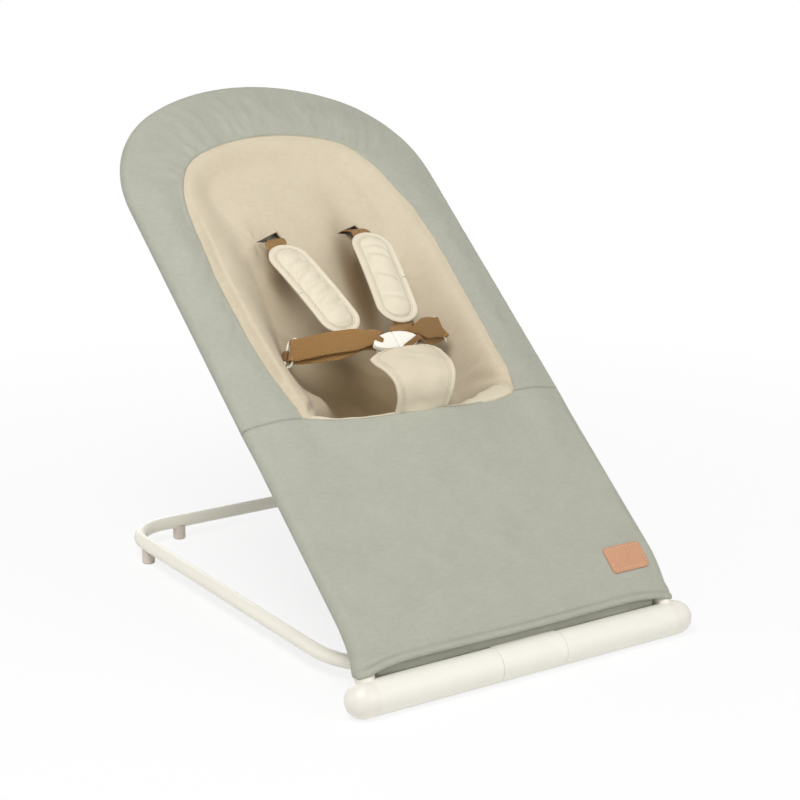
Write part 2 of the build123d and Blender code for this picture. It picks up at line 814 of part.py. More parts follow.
for side_name, side in sides:
    run_length, strap_plane = shoulder_run(side)
    tongue_end = seat_point(side * tongue_half_spacing, tongue_top + loose_clearance, shoulder_level)
    end_place = strap_plane.to_local_coords(tongue_end)
    with BuildPart() as strap:
        with BuildSketch(strap_plane):
            with BuildLine():
                FilletPolyline((0, 0), (run_length, 0), (end_place.X, end_place.Y), radius=knee_radius)
            trace(line_width=webbing_width)
        extrude(amount=webbing_thickness / 2, both=True)
    finish(strap, "shoulder_strap_" + side_name)

    with BuildPart() as pad:
        with BuildSketch(strap_plane):
            with Locations((pad_start + pad_length / 2, 0)):
                SlotOverall(pad_length, pad_width)
        extrude(amount=pad_thickness / 2, both=True)
        fillet(pad.faces().filter_by(strap_plane).edges(), pad_edge)
        with BuildSketch(strap_plane):
            with Locations((pad_start + pad_length / 2, 0)):
                Rectangle(pad_length, webbing_width + 2 * loose_clearance)
        extrude(amount=webbing_thickness / 2 + loose_clearance, both=True, mode=Mode.SUBTRACT)
    finish(pad, "shoulder_pad_" + side_name)

# Waist straps, which loop round one bar of a ring, and anchors, which loop round the other

tilt = radians(waist_tilt)
waist_start = Vector((buckle_width / 2 + waist_gap) / cos(tilt), strap_level)
ring_near = Vector(ring_distance, ring_level)
waist_dir = (ring_near - waist_start).normalized()
ring_far = ring_near + waist_dir * ring_pitch
anchor_end = ring_far + waist_dir * anchor_length
loop_inner = ring_bar * sqrt(0.5) + loose_clearance
loop_outer = loop_inner + webbing_thickness


def waist_plane(side):
    """Plane through a waist strap's run, with the way out from the middle to the right and n up."""
    out = Vector(side * cos(tilt), 0, 0) + along * sin(tilt)
    return Plane(origin=seat_point(0, waist_at, 0), x_dir=out, z_dir=out.cross(normal))


def looped_web(name, side, free_end, bar, layers):
    """Web from a free end to a loop round a ring's bar."""
    with BuildPart() as web:
        with BuildSketch(waist_plane(side)):
            with BuildLine():
                Line(free_end, bar)
            trace(line_width=layers * webbing_thickness)
            with Locations(bar):
                Circle(loop_outer)
                Circle(loop_inner, mode=Mode.SUBTRACT)
        extrude(amount=webbing_width / 2, both=True)
    finish(web, name)


def ring_plane(side):
    """Plane of a ring, with the run of the strap along x."""
    flat = waist_plane(side)
    middle = (ring_near + ring_far) / 2
    run = flat.x_dir * waist_dir.X + flat.y_dir * waist_dir.Y
    return Plane(origin=flat.from_local_coords(middle), x_dir=run, z_dir=run.cross(flat.z_dir))


for side_name, side in sides:
    looped_web("waist_strap_" + side_name, side, waist_start, ring_near, 2)
    looped_web("waist_anchor_" + side_name, side, anchor_end, ring_far, 2)
    with BuildPart() as ring:
        with BuildSketch(ring_plane(side)):
            opening_run = webbing_width + 2 * ring_margin
            Rectangle(ring_pitch + ring_bar, opening_run + 2 * ring_bar)
            Rectangle(ring_pitch - ring_bar, opening_run, mode=Mode.SUBTRACT)
        extrude(amount=ring_bar / 2, both=True)
    finish(ring, "waist_ring_" + side_name)

# Lining: a deep dish whose rim lies under the border, slit for the straps and anchors

rim = border_low - loose_clearance
lap_shape = draw_inset(opening_shape, -bucket_lap)
lap_width = lap_shape[0]
lap_top = lap_shape[1]

# share of the way up from the seam to the top of the rim, and share of the depth
bucket_upper = (
    (0.16, 0.88),
    (0.32, 0.62),
    (0.48, 0.34),
    (0.64, 0.12),
    (0.78, 0.07),
    (0.89, 0.05),
    (0.98, 0.03),
)

# place up the slope, half width, level of the rim and share of the depth
bucket_stations = [
    (seam_at * 0.40, lap_width * 0.68, -20.0, 0.25),
    (seam_at * 0.58, lap_width * 0.82, -12.0, 0.60),
    (seam_at * 0.78, lap_width * 0.94, -4.0, 0.90),
    (seam_at, lap_width, rim, 1.0),
]
for place, share in bucket_upper:
    station = up_slope(seam_at, lap_top, place)
    bucket_stations.append((station, arch_half_width(station, *lap_shape), rim, share))

with BuildPart() as seat_bucket:
    for station, half_width, edge, share in bucket_stations:
        with BuildSketch(cross_plane(station)):
            with BuildLine():
                draw_dish(half_width, edge, edge - bucket_depth * share, bucket_thickness)
            make_face()
    loft(ruled=True)
    for side_name, side in sides:
        run_length, strap_plane = shoulder_run(side)
        with BuildSketch(strap_plane):
            Rectangle(2 * slit_length, webbing_width + 2 * loose_clearance)
        extrude(amount=webbing_thickness / 2 + loose_clearance, both=True, mode=Mode.SUBTRACT)
        with BuildSketch(waist_plane(side)):
            with BuildLine():
                Line(ring_far, anchor_end + waist_dir * loose_clearance)
            trace(line_width=2 * (webbing_thickness + loose_clearance))
        extrude(amount=webbing_width / 2 + loose_clearance, both=True, mode=Mode.SUBTRACT)
finish(seat_bucket, "seat_bucket")

# Crotch panel, from the inside of the front panel up over the buckle's lower end


def under_panel(s):
    """Level of the crotch panel's middle where it lies against the inside of the front panel."""
    rise = panel_rise * (s - panel_rise_from) / (panel_top[0] - panel_rise_from)
    return panel_offset + rise - fabric / 2 - loose_clearance - crotch_thickness / 2


with BuildPart() as crotch_panel:
    edge_s = seam_at - opening_scoop + crotch_clear
    crotch_low = buckle_at - buckle_length / 2
    crotch_lap = buckle_top + loose_clearance + crotch_thickness / 2
    with BuildSketch(side_plane(0)):
        with BuildLine():
            FilletPolyline(
                (edge_s - crotch_tail, under_panel(edge_s - crotch_tail)),
                (edge_s, under_panel(edge_s)),
                (edge_s + crotch_clear, crotch_rise),
                ((edge_s + crotch_low) / 2 + crotch_clear, crotch_crown),
                (crotch_low + crotch_clear, crotch_lap),
                (crotch_low + crotch_overlap, crotch_lap),
                radius=crotch_bend,
            )
        trace(line_width=crotch_thickness)
    extrude(amount=crotch_width / 2, both=True)
finish(crotch_panel, "crotch_panel")
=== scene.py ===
import math

import bmesh
import bpy
import numpy as np
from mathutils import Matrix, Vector, noise


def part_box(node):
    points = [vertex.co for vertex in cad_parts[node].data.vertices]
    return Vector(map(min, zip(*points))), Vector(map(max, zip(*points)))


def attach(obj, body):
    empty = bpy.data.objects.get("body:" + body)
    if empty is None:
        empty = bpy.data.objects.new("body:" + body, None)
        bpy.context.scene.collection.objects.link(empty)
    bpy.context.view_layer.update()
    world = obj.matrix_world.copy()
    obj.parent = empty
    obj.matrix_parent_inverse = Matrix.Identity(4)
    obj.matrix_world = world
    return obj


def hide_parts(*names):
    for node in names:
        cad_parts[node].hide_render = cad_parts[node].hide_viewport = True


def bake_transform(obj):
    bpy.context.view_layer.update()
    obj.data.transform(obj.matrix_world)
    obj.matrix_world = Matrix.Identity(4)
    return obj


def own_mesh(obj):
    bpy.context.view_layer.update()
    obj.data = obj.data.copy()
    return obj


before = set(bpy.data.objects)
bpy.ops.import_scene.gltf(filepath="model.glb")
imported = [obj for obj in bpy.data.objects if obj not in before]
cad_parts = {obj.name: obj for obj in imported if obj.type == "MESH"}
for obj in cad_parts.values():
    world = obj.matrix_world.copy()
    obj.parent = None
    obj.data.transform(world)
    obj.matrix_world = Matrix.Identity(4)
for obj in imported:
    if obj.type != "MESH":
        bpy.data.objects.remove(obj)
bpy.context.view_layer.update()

scene = bpy.context.scene
scene.view_settings.view_transform = "Standard"
sides = (("Left", -1), ("Right", 1))

# hoop, seat plane and the opening in the cover, metres and degrees
seat = dict(slope=39.0, legAngle=58.0, legReach=0.065, bend=0.120, half=0.192, top=0.730, corner=0.141,
            crown=0.251, seam=0.249, hemReach=0.029, clear=0.0003)
opening = dict(half=0.133, top=0.652, corner=0.070, crown=0.230, scoop=0.0195, skew=-0.046, sink=0.003,
               levelRun=0.16)
# places up the opening's sides, and how far each bows out there
bowLeft = ((0.249, 0.286, 0.328, 0.359, 0.395, 0.440, 0.470, 0.490, 0.520, 0.555, 0.596, 0.625, 0.660),
           (-0.0005, 0.0044, 0.0100, 0.0125, 0.0131, 0.0148, 0.0138, 0.0116, 0.0096, 0.0068, 0.0, 0.0, 0.0))
bowRight = ((0.249, 0.256, 0.266, 0.298, 0.351, 0.404, 0.472, 0.5215, 0.571, 0.607, 0.635, 0.660),
            (0.0, 0.0070, 0.0100, 0.0119, 0.0138, 0.0140, 0.0150, 0.0096, -0.0030, -0.0090, -0.0030, 0.0))

axleLow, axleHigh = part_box("axle_tube")
barY, barZ = (axleLow.y + axleHigh.y) / 2, (axleLow.z + axleHigh.z) / 2
slope, legTilt = math.radians(seat["slope"]), math.radians(seat["legAngle"])
turn = legTilt - slope
acrossDir = np.array([1.0, 0, 0])
upDir = np.array([0, math.cos(slope), math.sin(slope)])
outDir = np.array([0, -math.sin(slope), math.cos(slope)])
leg = np.array([math.cos(legTilt), math.sin(legTilt)])
legDir = np.array([0, *leg])
barMid = np.array([0, barY, barZ])
vertex = barMid + seat["legReach"] * legDir
bendRun = seat["bend"] * math.tan(turn / 2)
legRun = seat["legReach"] - bendRun - seat["hemReach"]
arcRun = seat["bend"] * turn


def place(x, s, n):  # x across, s up the slope, n above the hoop
    x, s, n = (np.asarray(a, float)[..., None] for a in np.broadcast_arrays(x, s, n))
    return vertex + x * acrossDir + s * upDir + n * outDir


def ramp(x, a, b):  # smooth step from a to b
    t = np.clip((np.asarray(x, float) - a) / (b - a), 0, 1)
    return t * t * (3 - 2 * t)


def fade(x, a, b):  # smooth step down
    return 1 - ramp(x, a, b)


def hill(x, mid, wide):  # round bump, 1 at mid
    return np.exp(-((x - mid) / wide) ** 2)


def ripple(u, v, seed):  # smooth noise from -1 to 1
    u, v = np.broadcast_arrays(np.asarray(u, float), np.asarray(v, float))
    flat = [noise.noise((a, b, seed)) for a, b in zip(u.ravel(), v.ravel())]
    return np.array(flat).reshape(u.shape)


def crease(u, v, seed):  # sharp folds from 0 to 1
    return (1 - np.abs(ripple(u, v, seed)) * 2).clip(0, 1) ** 2


def folds(wave, a, b):  # a wave is height, waves along a, lean, waves along b and seed
    high, alongA, lean, alongB, seed = wave
    return high * ripple(a * alongA + b * lean, b * alongB, seed)


def creases(wave, a, b, base=0.3):  # the same, with sharp ridges over a base
    high, alongA, lean, alongB, seed = wave
    return high * (crease(a * alongA + b * lean, b * alongB, seed) - base)


def unit(v):
    return v / np.maximum(np.linalg.norm(v, axis=-1, keepdims=True), 1e-12)


def runLength(points):
    return np.concatenate([[0], np.cumsum(np.linalg.norm(np.diff(points, axis=0), axis=1))])


def smoothRun(points, count):  # curve through points, evenly spaced
    p = np.asarray(points, float)
    p = np.vstack([2 * p[0] - p[1], p, 2 * p[-1] - p[-2]])
    t = np.linspace(0, 1, 24, endpoint=False)[:, None]
    dense = []
    for a, b, c, d in zip(p, p[1:], p[2:], p[3:]):
        square, cube = 2 * a - 5 * b + 4 * c - d, 3 * b - a - 3 * c + d
        dense.append(0.5 * (2 * b + (c - a) * t + square * t ** 2 + cube * t ** 3))
    dense = np.vstack(dense + [p[-2][None]])
    length = runLength(dense)
    even = np.linspace(0, length[-1], count)
    return np.stack([np.interp(even, length, column) for column in dense.T], -1)


def softTable(s, xs, ys, blur):  # soft curve near stations, blur in 400ths of the run
    at = np.linspace(xs[0], xs[-1], 400)
    raw = np.interp(at, xs, ys)
    kernel = np.hanning(blur)
    half = blur // 2
    padded = np.concatenate([np.full(half, raw[0]), raw, np.full(half, raw[-1])])
    return np.interp(s, at, np.convolve(padded, kernel / kernel.sum(), "valid"))


def sideCurve(a):  # tube's side, a metres up from the hem: s, n and lean
    a = np.asarray(a, float)
    lean = np.clip(turn - (a - legRun) / seat["bend"], 0, turn)
    onLeg = np.minimum(a - legRun, 0)
    onTop = np.maximum(a - legRun - arcRun, 0)
    s = bendRun - seat["bend"] * np.sin(lean) + onLeg * math.cos(turn) + onTop
    n = seat["bend"] * (np.cos(lean) - 1) + onLeg * math.sin(turn)
    return s, n, lean


def slant(x, s):  # how far the sewn edge lies off its level, less and less up the sides
    off = opening["skew"] * x - opening["sink"]
    return off * fade(s, seat["seam"], seat["seam"] + opening["levelRun"])


def barrel(x, s):  # the opening's sides bow out and its right shoulder sits lower
    return np.where(np.asarray(x) < 0, -softTable(s, *bowLeft, 31), softTable(s, *bowRight, 17))


def leftSide(x, s, rise, fall):  # 1 along the left side, between the two stretches
    return (np.asarray(x) < 0) * ramp(s, *rise) * fade(s, *fall)


def archParts(shape):  # corner's inset, crown's centre and the corner's height above it
    inset = shape["half"] - shape["corner"]
    rise = math.sqrt((shape["crown"] - shape["corner"]) ** 2 - inset ** 2)
    return inset, shape["top"] - shape["crown"], rise


def archSamples(shape, firstS, counts):  # straight, corner and crown, left to right
    inset, low, rise = archParts(shape)
    straight, bow, cap = counts
    cornerTurn = math.atan2(rise, inset)
    crownTurn = math.pi / 2 - cornerTurn
    f = np.linspace(0, 1, straight, endpoint=False)
    t = np.linspace(0, cornerTurn, bow, endpoint=False)
    sideX = np.concatenate([np.full(straight, -shape["half"]), -inset - shape["corner"] * np.cos(t)])
    sideS = np.concatenate([firstS + f * (low + rise - firstS), low + rise + shape["corner"] * np.sin(t)])
    t = np.linspace(-crownTurn, crownTurn, cap)
    x = np.concatenate([sideX, shape["crown"] * np.sin(t), -sideX[::-1]])
    return x, np.concatenate([sideS, low + shape["crown"] * np.cos(t), sideS[::-1]])


def archHalf(shape, s):  # half width of an arch at s
    inset, low, rise = archParts(shape)
    corner, crown = shape["corner"], shape["crown"]
    bow = inset + np.sqrt(np.maximum(corner ** 2 - np.maximum(s - low - rise, 0) ** 2, 0))
    cap = np.sqrt(np.maximum(crown ** 2 - (s - low) ** 2, 0))
    meet = low + rise * crown / (crown - corner)
    return np.where(s <= low + rise, shape["half"], np.where(s <= meet, bow, cap))


def quarters(corners):  # outline of rounded corners: centre, first angle and radius of each
    return [(x + r * math.cos(math.radians(start + t)), y + r * math.sin(math.radians(start + t)))
            for x, y, start, r in corners for t in np.linspace(0, 90, 8)]


def pairs(a, b):  # cloth coordinates from two arrays
    return np.stack(np.broadcast_arrays(a, b), -1)


def linked(name, data):
    made = bpy.data.objects.new(name, data)
    scene.collection.objects.link(made)
    return made


def gridMesh(name, points, uv=None, wrapRows=False, wrapCols=False, caps=False):
    rows, cols = points.shape[:2]
    mesh = bpy.data.meshes.new(name)
    faces, corners = [], []
    for i in range(rows if wrapRows else rows - 1):
        for j in range(cols if wrapCols else cols - 1):
            i2, j2 = (i + 1) % rows, (j + 1) % cols
            faces.append((i * cols + j, i * cols + j2, i2 * cols + j2, i2 * cols + j))
            corners += [(i, j), (i, j + 1), (i + 1, j + 1), (i + 1, j)]
    if caps:
        faces += [tuple(range(cols))[::-1], tuple((rows - 1) * cols + k for k in range(cols))]
        corners += [(0, k) for k in range(cols)][::-1] + [(rows - 1, k) for k in range(cols)]
    mesh.from_pydata(points.reshape(-1, 3).tolist(), [], faces)
    layer = mesh.uv_layers.new(name="cloth")
    if uv is not None:
        lastRow, lastCol = uv.shape[0] - 1, uv.shape[1] - 1
        flat = [uv[min(i, lastRow), min(j, lastCol)] for i, j in corners]
        layer.data.foreach_set("uv", np.array(flat, np.float32).ravel())
    mesh.shade_smooth()
    return linked(name, mesh)


def outward(obj, merge=0.0):  # closed shells face outwards
    shell = bmesh.new()
    shell.from_mesh(obj.data)
    if merge:
        bmesh.ops.remove_doubles(shell, verts=shell.verts, dist=merge)
    bmesh.ops.recalc_face_normals(shell, faces=shell.faces)
    shell.to_mesh(obj.data)
    shell.free()
    return obj


def baked(obj):  # modifiers become the mesh
    graph = bpy.context.evaluated_depsgraph_get()
    mesh = bpy.data.meshes.new_from_object(obj.evaluated_get(graph))
    obj.modifiers.clear()
    obj.data = mesh
    return obj


def thicken(obj, thickness, offset):  # a sheet gets its wall
    wall = obj.modifiers.new("thick", "SOLIDIFY")
    wall.thickness, wall.offset = thickness, offset
    return baked(obj)


def wear(obj, finish):
    obj.data.materials.clear()
    obj.data.materials.append(finish)


def dress(obj, finish, body, slotName, *stands):
    wear(obj, finish)
    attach(obj, body)
    if stands:
        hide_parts(*stands)
    return obj


# finishes


class Lead:  # a socket that takes part in sums
    def __init__(self, net, socket):
        self.net, self.socket = net, socket

    def join(self, operation, a, b=0.0):
        return self.net.node("ShaderNodeMath", {"operation": operation}, {0: a, 1: b})

    def __add__(self, other):
        return self.join("ADD", self, other)

    def __radd__(self, other):
        return self.join("ADD", other, self)

    def __sub__(self, other):
        return self.join("SUBTRACT", self, other)

    def __rsub__(self, other):
        return self.join("SUBTRACT", other, self)

    def __mul__(self, other):
        return self.join("MULTIPLY", self, other)

    def __rmul__(self, other):
        return self.join("MULTIPLY", other, self)

    def __rtruediv__(self, other):
        return self.join("DIVIDE", other, self)

    def wave(self):
        return self.join("SINE", self)


class Net:  # the nodes of a material or of the world
    def __init__(self, tree):
        self.tree = tree

    def node(self, kind, settings=None, sockets=None, out=0):
        made = self.tree.nodes.new(kind)
        for key, value in (settings or {}).items():
            setattr(made, key, value)
        for key, value in (sockets or {}).items():
            self.feed(made.inputs[key], value)
        return Lead(self, made.outputs[out])

    def feed(self, target, value):
        if isinstance(value, Lead):
            self.tree.links.new(value.socket, target)
        else:
            target.default_value = value

    def show(self, output, share, hidden, shown):  # one shader turns into another by share
        mixed = self.node("ShaderNodeMixShader", None, {0: share, 1: hidden, 2: shown})
        self.feed(self.tree.nodes[output].inputs["Surface"], mixed)


class Finish(Net):
    def __init__(self, name, **surface):
        self.material = bpy.data.materials.new(name)
        self.material.use_nodes = True
        super().__init__(self.material.node_tree)
        self.shader = self.tree.nodes["Principled BSDF"]
        for key, value in surface.items():
            self.give(key.replace("_", " "), value)

    def give(self, socket, value):
        self.feed(self.shader.inputs[socket], value)

    def where(self, kind):  # Object or UV coordinates
        return self.node("ShaderNodeTexCoord", out=kind)

    def split(self, vector, axis):
        return self.node("ShaderNodeSeparateXYZ", None, {0: vector}, out=axis)

    def stretch(self, vector, scale):
        return self.node("ShaderNodeMapping", None, {"Vector": vector, "Scale": scale})

    def grain(self, vector, scale, detail=3.0, rough=0.55):
        return self.node("ShaderNodeTexNoise", None,
                         {"Vector": vector, "Scale": scale, "Detail": detail, "Roughness": rough})

    def between(self, share, a, b):  # colour from a to b
        return self.node("ShaderNodeMix", {"data_type": "RGBA"}, {0: share, 6: a, 7: b}, out=2)

    def bump(self, height, strength, distance):
        raised = {"Strength": strength, "Distance": distance, "Height": height}
        self.give("Normal", self.node("ShaderNodeBump", None, raised))


def tint(r, g, b):  # picture colour to linear
    shares = [c / 255 for c in (r, g, b)]
    return tuple(c / 12.92 if c <= 0.04 else ((c + 0.055) / 1.055) ** 2.4 for c in shares) + (1.0,)


def clothFinish(name, light, dark, pitch, weave, sheen, shadeSpots=()):
    f = Finish(name, Sheen_Weight=sheen, Sheen_Roughness=0.5, Specular_IOR_Level=0.2)
    spot, flat = f.where("Object"), f.where("UV")
    x, y = f.split(flat, "X"), f.split(flat, "Y")
    threads = (x * (2 * math.pi / pitch)).wave() * (y * (2 * math.pi / pitch)).wave()
    fuzz, fleck = f.grain(spot, 2600.0, 2.0), f.grain(spot, 190.0, 3.0)
    cloud = f.grain(spot, 26.0, 6.0, 0.7)
    slub = f.grain(f.stretch(flat, (70.0, 620.0, 1.0)), 1.0, 3.0)
    colour = f.between(0.60 * cloud + 0.55 * slub + 0.30 * fleck + 0.12 * threads - 0.22, dark, light)
    for shadeSpot in shadeSpots:  # painted shade: cloth darkened toward a shade colour in each given spot
        across = (x - shadeSpot["mid"]) * (1 / shadeSpot["half"])
        along = (y - shadeSpot["at"]) * (1 / shadeSpot["tall"])
        hollow = across * across + along * along
        colour = f.between(shadeSpot["share"] / (1 + hollow * hollow), colour, shadeSpot["shadeColour"])
    f.give("Base Color", colour)
    f.give("Roughness", 0.80 + 0.16 * cloud)
    f.bump(threads * 0.6 + fuzz * 0.7 + slub * 0.5, weave, 0.0004)
    return f.material


def webFinish(name, light, dark, twillPitch, pickPitch):
    f = Finish(name, Sheen_Weight=0.05, Specular_IOR_Level=0.2)
    flat = f.where("UV")
    across, along = f.split(flat, "X"), f.split(flat, "Y")
    twill = ((across + along * 0.55) * (2 * math.pi / twillPitch)).wave()
    pick = (along * (2 * math.pi / pickPitch)).wave()
    fuzz = f.grain(f.where("Object"), 1500.0, 3.0)
    f.give("Base Color", f.between(twill * 0.34 + pick * 0.16 + fuzz * 0.6 + 0.2, dark, light))
    f.give("Roughness", 0.72 + 0.2 * fuzz)
    f.bump(twill * 0.8 + pick * 0.5 + fuzz * 0.4, 0.8, 0.0007)
    return f.material


def shellFinish(name, light, dark, gloss, grainSize, depth, coat=0.0):
    f = Finish(name, Coat_Weight=coat, Coat_Roughness=0.25)
    spot = f.where("Object")
    cloud, grain = f.grain(spot, 22.0, 4.0), f.grain(spot, grainSize, 2.0)
    f.give("Base Color", f.between(0.7 * cloud + 0.3 * grain, dark, light))
    f.give("Roughness", gloss + 0.14 * cloud + 0.06 * grain)
    f.bump(grain, depth, 0.0003)
    return f.material


def hideFinish(name, light, dark):
    f = Finish(name, Specular_IOR_Level=0.35)
    spot = f.where("Object")
    cells = f.node("ShaderNodeTexVoronoi", {"feature": "DISTANCE_TO_EDGE"},
                   {"Vector": spot, "Scale": 900.0})
    cloud = f.grain(spot, 90.0, 4.0)
    f.give("Base Color", f.between(0.7 * cloud + cells * 1.2, dark, light))
    f.give("Roughness", 0.62 - 0.2 * cells + 0.12 * cloud)
    f.bump(cells * 1.6 + cloud * 0.3, 0.55, 0.0004)
    return f.material


def metalFinish(name, light, dark, rough):
    f = Finish(name, Metallic=1.0)
    lines = f.grain(f.stretch(f.where("Object"), (30.0, 900.0, 900.0)), 1.0, 2.0)
    f.give("Base Color", f.between(lines, dark, light))
    f.give("Roughness", rough + 0.15 * lines)
    return f.material


# painted shade in the seat's hollow, and painted shadow beside each shoulder pad, put into the lining's
# colour
paintedShadeSpots = (dict(mid=-0.004, half=0.078, at=0.300, tall=0.085, share=0.84, shadeColour=tint(152, 127, 88)),
          dict(mid=0.046, half=0.017, at=0.440, tall=0.068, share=0.88, shadeColour=tint(104, 80, 46)),
          dict(mid=-0.058, half=0.013, at=0.470, tall=0.038, share=0.50, shadeColour=tint(124, 98, 62)))
sage = clothFinish("sageCotton", tint(187, 188, 174), tint(159, 160, 145), 0.0011, 0.25, 0.10)
cream = clothFinish("creamCotton", tint(224, 213, 190), tint(211, 199, 174), 0.0010, 0.25, 0.10)
# the lining's colour carries the painted shade and painted pad shadows listed above
liningCreamPaintedShade = clothFinish("liningCottonPaintedShade", tint(224, 213, 190), tint(201, 187, 160), 0.0010, 0.25, 0.08,
                          paintedShadeSpots)
padCream = clothFinish("padCotton", tint(233, 224, 202), tint(222, 211, 188), 0.0010, 0.22, 0.08)
tanWeb = webFinish("tanWebbing", tint(200, 156, 101), tint(148, 107, 59), 0.0021, 0.0011)
paint = shellFinish("tubePaint", tint(246, 242, 229), tint(241, 236, 222), 0.34, 1400.0, 0.05, 0.15)
barShell = shellFinish("barMoulding", tint(240, 238, 228), tint(234, 231, 219), 0.42, 2200.0, 0.08)
capShell = shellFinish("capMoulding", tint(238, 233, 222), tint(231, 226, 214), 0.30, 2000.0, 0.06, 0.2)
soleRubber = shellFinish("soleRubber", tint(222, 210, 199), tint(212, 200, 188), 0.7, 900.0, 0.3)
bearing = shellFinish("bearingMoulding", tint(205, 205, 200), tint(195, 195, 190), 0.5, 1500.0, 0.1)
buckleShell = shellFinish("buckleMoulding", tint(246, 242, 231), tint(240, 236, 224), 0.26, 1800.0, 0.05,
                          0.2)
patchHide = hideFinish("patchHide", tint(212, 163, 131), tint(192, 140, 108))
zinc = metalFinish("brightZinc", (0.62, 0.62, 0.6, 1.0), (0.496, 0.496, 0.48, 1.0), 0.3)
sageThread = shellFinish("sageThread", tint(150, 154, 138), tint(138, 142, 126), 0.7, 3000.0, 0.3)
creamThread = shellFinish("creamThread", tint(178, 165, 138), tint(160, 147, 120), 0.7, 3000.0, 0.3)
tanThread = shellFinish("tanThread", tint(236, 196, 164), tint(220, 178, 146), 0.7, 3000.0, 0.3)
for finish, names in (
        (paint, ("base_tube", "hoop_tube")),
        (barShell, ("hub_upper_shell", "hub_lower_shell", "bar_sleeve_left", "bar_sleeve_right")),
        (capShell, ("end_cap_left", "end_cap_right")),
        (soleRubber, ("side_foot_left", "side_foot_right", "rear_foot_left", "rear_foot_right")),
        (bearing, ("hub_bush_left", "hub_bush_right", "sleeve_spacer_left", "sleeve_spacer_right")),
        (zinc, ("axle_tube", "detent_wheel", "wheel_pin", "detent_spring", "hub_screws", "leg_screws",
                "button_spring")),
        (buckleShell, ("buckle_button", "buckle_back"))):
    for nodeName in names:
        wear(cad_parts[nodeName], finish)
print("finishes made")

# green border round the lining, a padded ring that rolls over the tube
border = dict(counts=(88, 40, 64), roll=0.0101, rollTurn=248.0, edgeTop=0.0140, crown=0.0024, under=0.0050,
              edgeRound=0.0040, deepRound=0.0048, deepSeam=((0.262, 0.330), (0.520, 0.610)),
              hangs=((0.29, 0.36), (0.55, 0.63)), sewnFlat=(-0.006, 0.035), loose=(1.0, 7.0, 0.0, 0.0, 8.4),
              wrinkle=(0.0016, 42.0, 0.5, 1.1, 3.1), broad=(0.0010, 11.0, 0.0, 1.5, 5.7),
              fine=(0.0006, 30.0, 1.0, 2.6, 1.9), sharp=(0.00065, 88.0, 1.6, 1.3, 6.6),
              pucker=(0.00075, 95.0, 0.0, 0.6, 9.2), sag=(0.0021, 24.0, 1.4, 0.6, 4.9))


def borderTop(f):  # level at share f of the way from the opening to the roll
    level = border["edgeTop"] + (border["roll"] - border["edgeTop"]) * ramp(f, 0.25, 1.0)
    return level + border["crown"] * np.sin(math.pi * f) ** 0.8


def borderProfile(width, c):  # distance in, level and looseness, once round, with the edge rounded by c
    r, top, under = border["roll"], border["edgeTop"], border["under"]
    turned = math.radians(border["rollTurn"])
    endAt, endLevel = width + r * math.sin(turned), r * math.cos(turned)
    up = np.linspace(under, top - c, 4, endpoint=False)
    t = np.linspace(0, math.pi / 2, 6, endpoint=False)
    f = np.linspace(0, 1, 24, endpoint=False)
    w = np.linspace(0, turned, 22, endpoint=False)
    b = np.linspace(0, 1, 12, endpoint=False)
    stretches = ((0 * up, up, 0 * up),
                 (c - c * np.cos(t), top - c + c * np.sin(t), 0.4 * t),
                 (c + f * (width - c), borderTop(f), 1 - 0.55 * ramp(f, 0.55, 1.0)),
                 (width + r * np.sin(w), r * np.cos(w), 0.40 - 0.38 * ramp(w, 0.1, 1.2)),
                 (endAt * (1 - b), endLevel + (under - endLevel) * ramp(b, 0, 0.45), 0 * b))
    return [np.concatenate(column) for column in zip(*stretches)]


innerX, innerS = archSamples(opening, seat["seam"] + seat["clear"], border["counts"])
innerX = innerX + barrel(innerX, innerS)
outerX, outerS = archSamples(seat, seat["seam"] + seat["clear"], border["counts"])
inner, outer = (np.stack([x, s + slant(x, s)], -1) for x, s in ((innerX, innerS), (outerX, outerS)))
grid, uv = [], []
for a, b, run in zip(inner, outer, runLength((inner + outer) / 2)):
    wide = np.linalg.norm(b - a)
    deepSeam = leftSide(*a, *border["deepSeam"])
    distance, level, free = borderProfile(wide, border["edgeRound"] + border["deepRound"] * float(deepSeam))
    profile = np.stack([distance, level], -1)
    along = np.roll(profile, 1, 0) - np.roll(profile, -1, 0)
    normal = unit(np.stack([along[:, 1], -along[:, 0]], -1))
    f = distance / wide
    loose = 0.35 + 0.65 * ramp(folds(border["loose"], run, 0.0), -0.25, 0.35)
    lift = loose * (creases(border["wrinkle"], run, f, 0.35) + creases(border["sharp"], run, f))
    lift += folds(border["broad"], run, f) + folds(border["fine"], run, f)
    lift += folds(border["pucker"], run, f) * fade(f, 0.02, 0.30)
    # the left side hangs in soft folds
    lift -= leftSide(*a, *border["hangs"]) * creases(border["sag"], run, f, 0.0) * fade(f, 0.20, 0.85)
    lift *= ramp(a[1] - seat["seam"], *border["sewnFlat"])  # flat where it is sewn to the front panel
    profile = profile + normal * (lift * free)[:, None]
    flat = a + (b - a) / wide * profile[:, :1]
    grid.append(place(flat[:, 0], flat[:, 1], profile[:, 1]))
    uv.append(pairs(runLength(np.vstack([profile, profile[:1]])), run))
coverBorder = outward(gridMesh("coverBorder", np.array(grid), np.array(uv), wrapCols=True, caps=True))
dress(coverBorder, sage, "seat", "green_fabric", "cover_border")
print("border made", len(coverBorder.data.vertices))

# front panel, one cut of cloth from roll to roll, bulged where the crotch panel leaves it
front = dict(thick=0.0018, roll=0.0092, wrapEnd=252.0, wrapUp=0.0050, rowsHem=12, rowsUp=96, hemShare=0.06,
             colsWrap=26, colsFlat=110, hemRoll=0.0024, hemAt=0.0075, hemDip=0.75, dipWide=0.0016,
             bow=-0.0036, drop=0.0095, swell=0.0020, swellRun=0.012, seamGrow=0.0008, seamRun=0.04,
             riseFrom=0.100, bulge=0.0175, bulgeRun=0.085, bulgeWide=0.080, sag=0.0035, sagFrom=0.03,
             sagRun=0.17, calmRun=0.030, broad=(0.0016, 13.0, 0.0, 9.0, 2.2),
             fine=(0.0008, 30.0, 20.0, 24.0, 6.1))


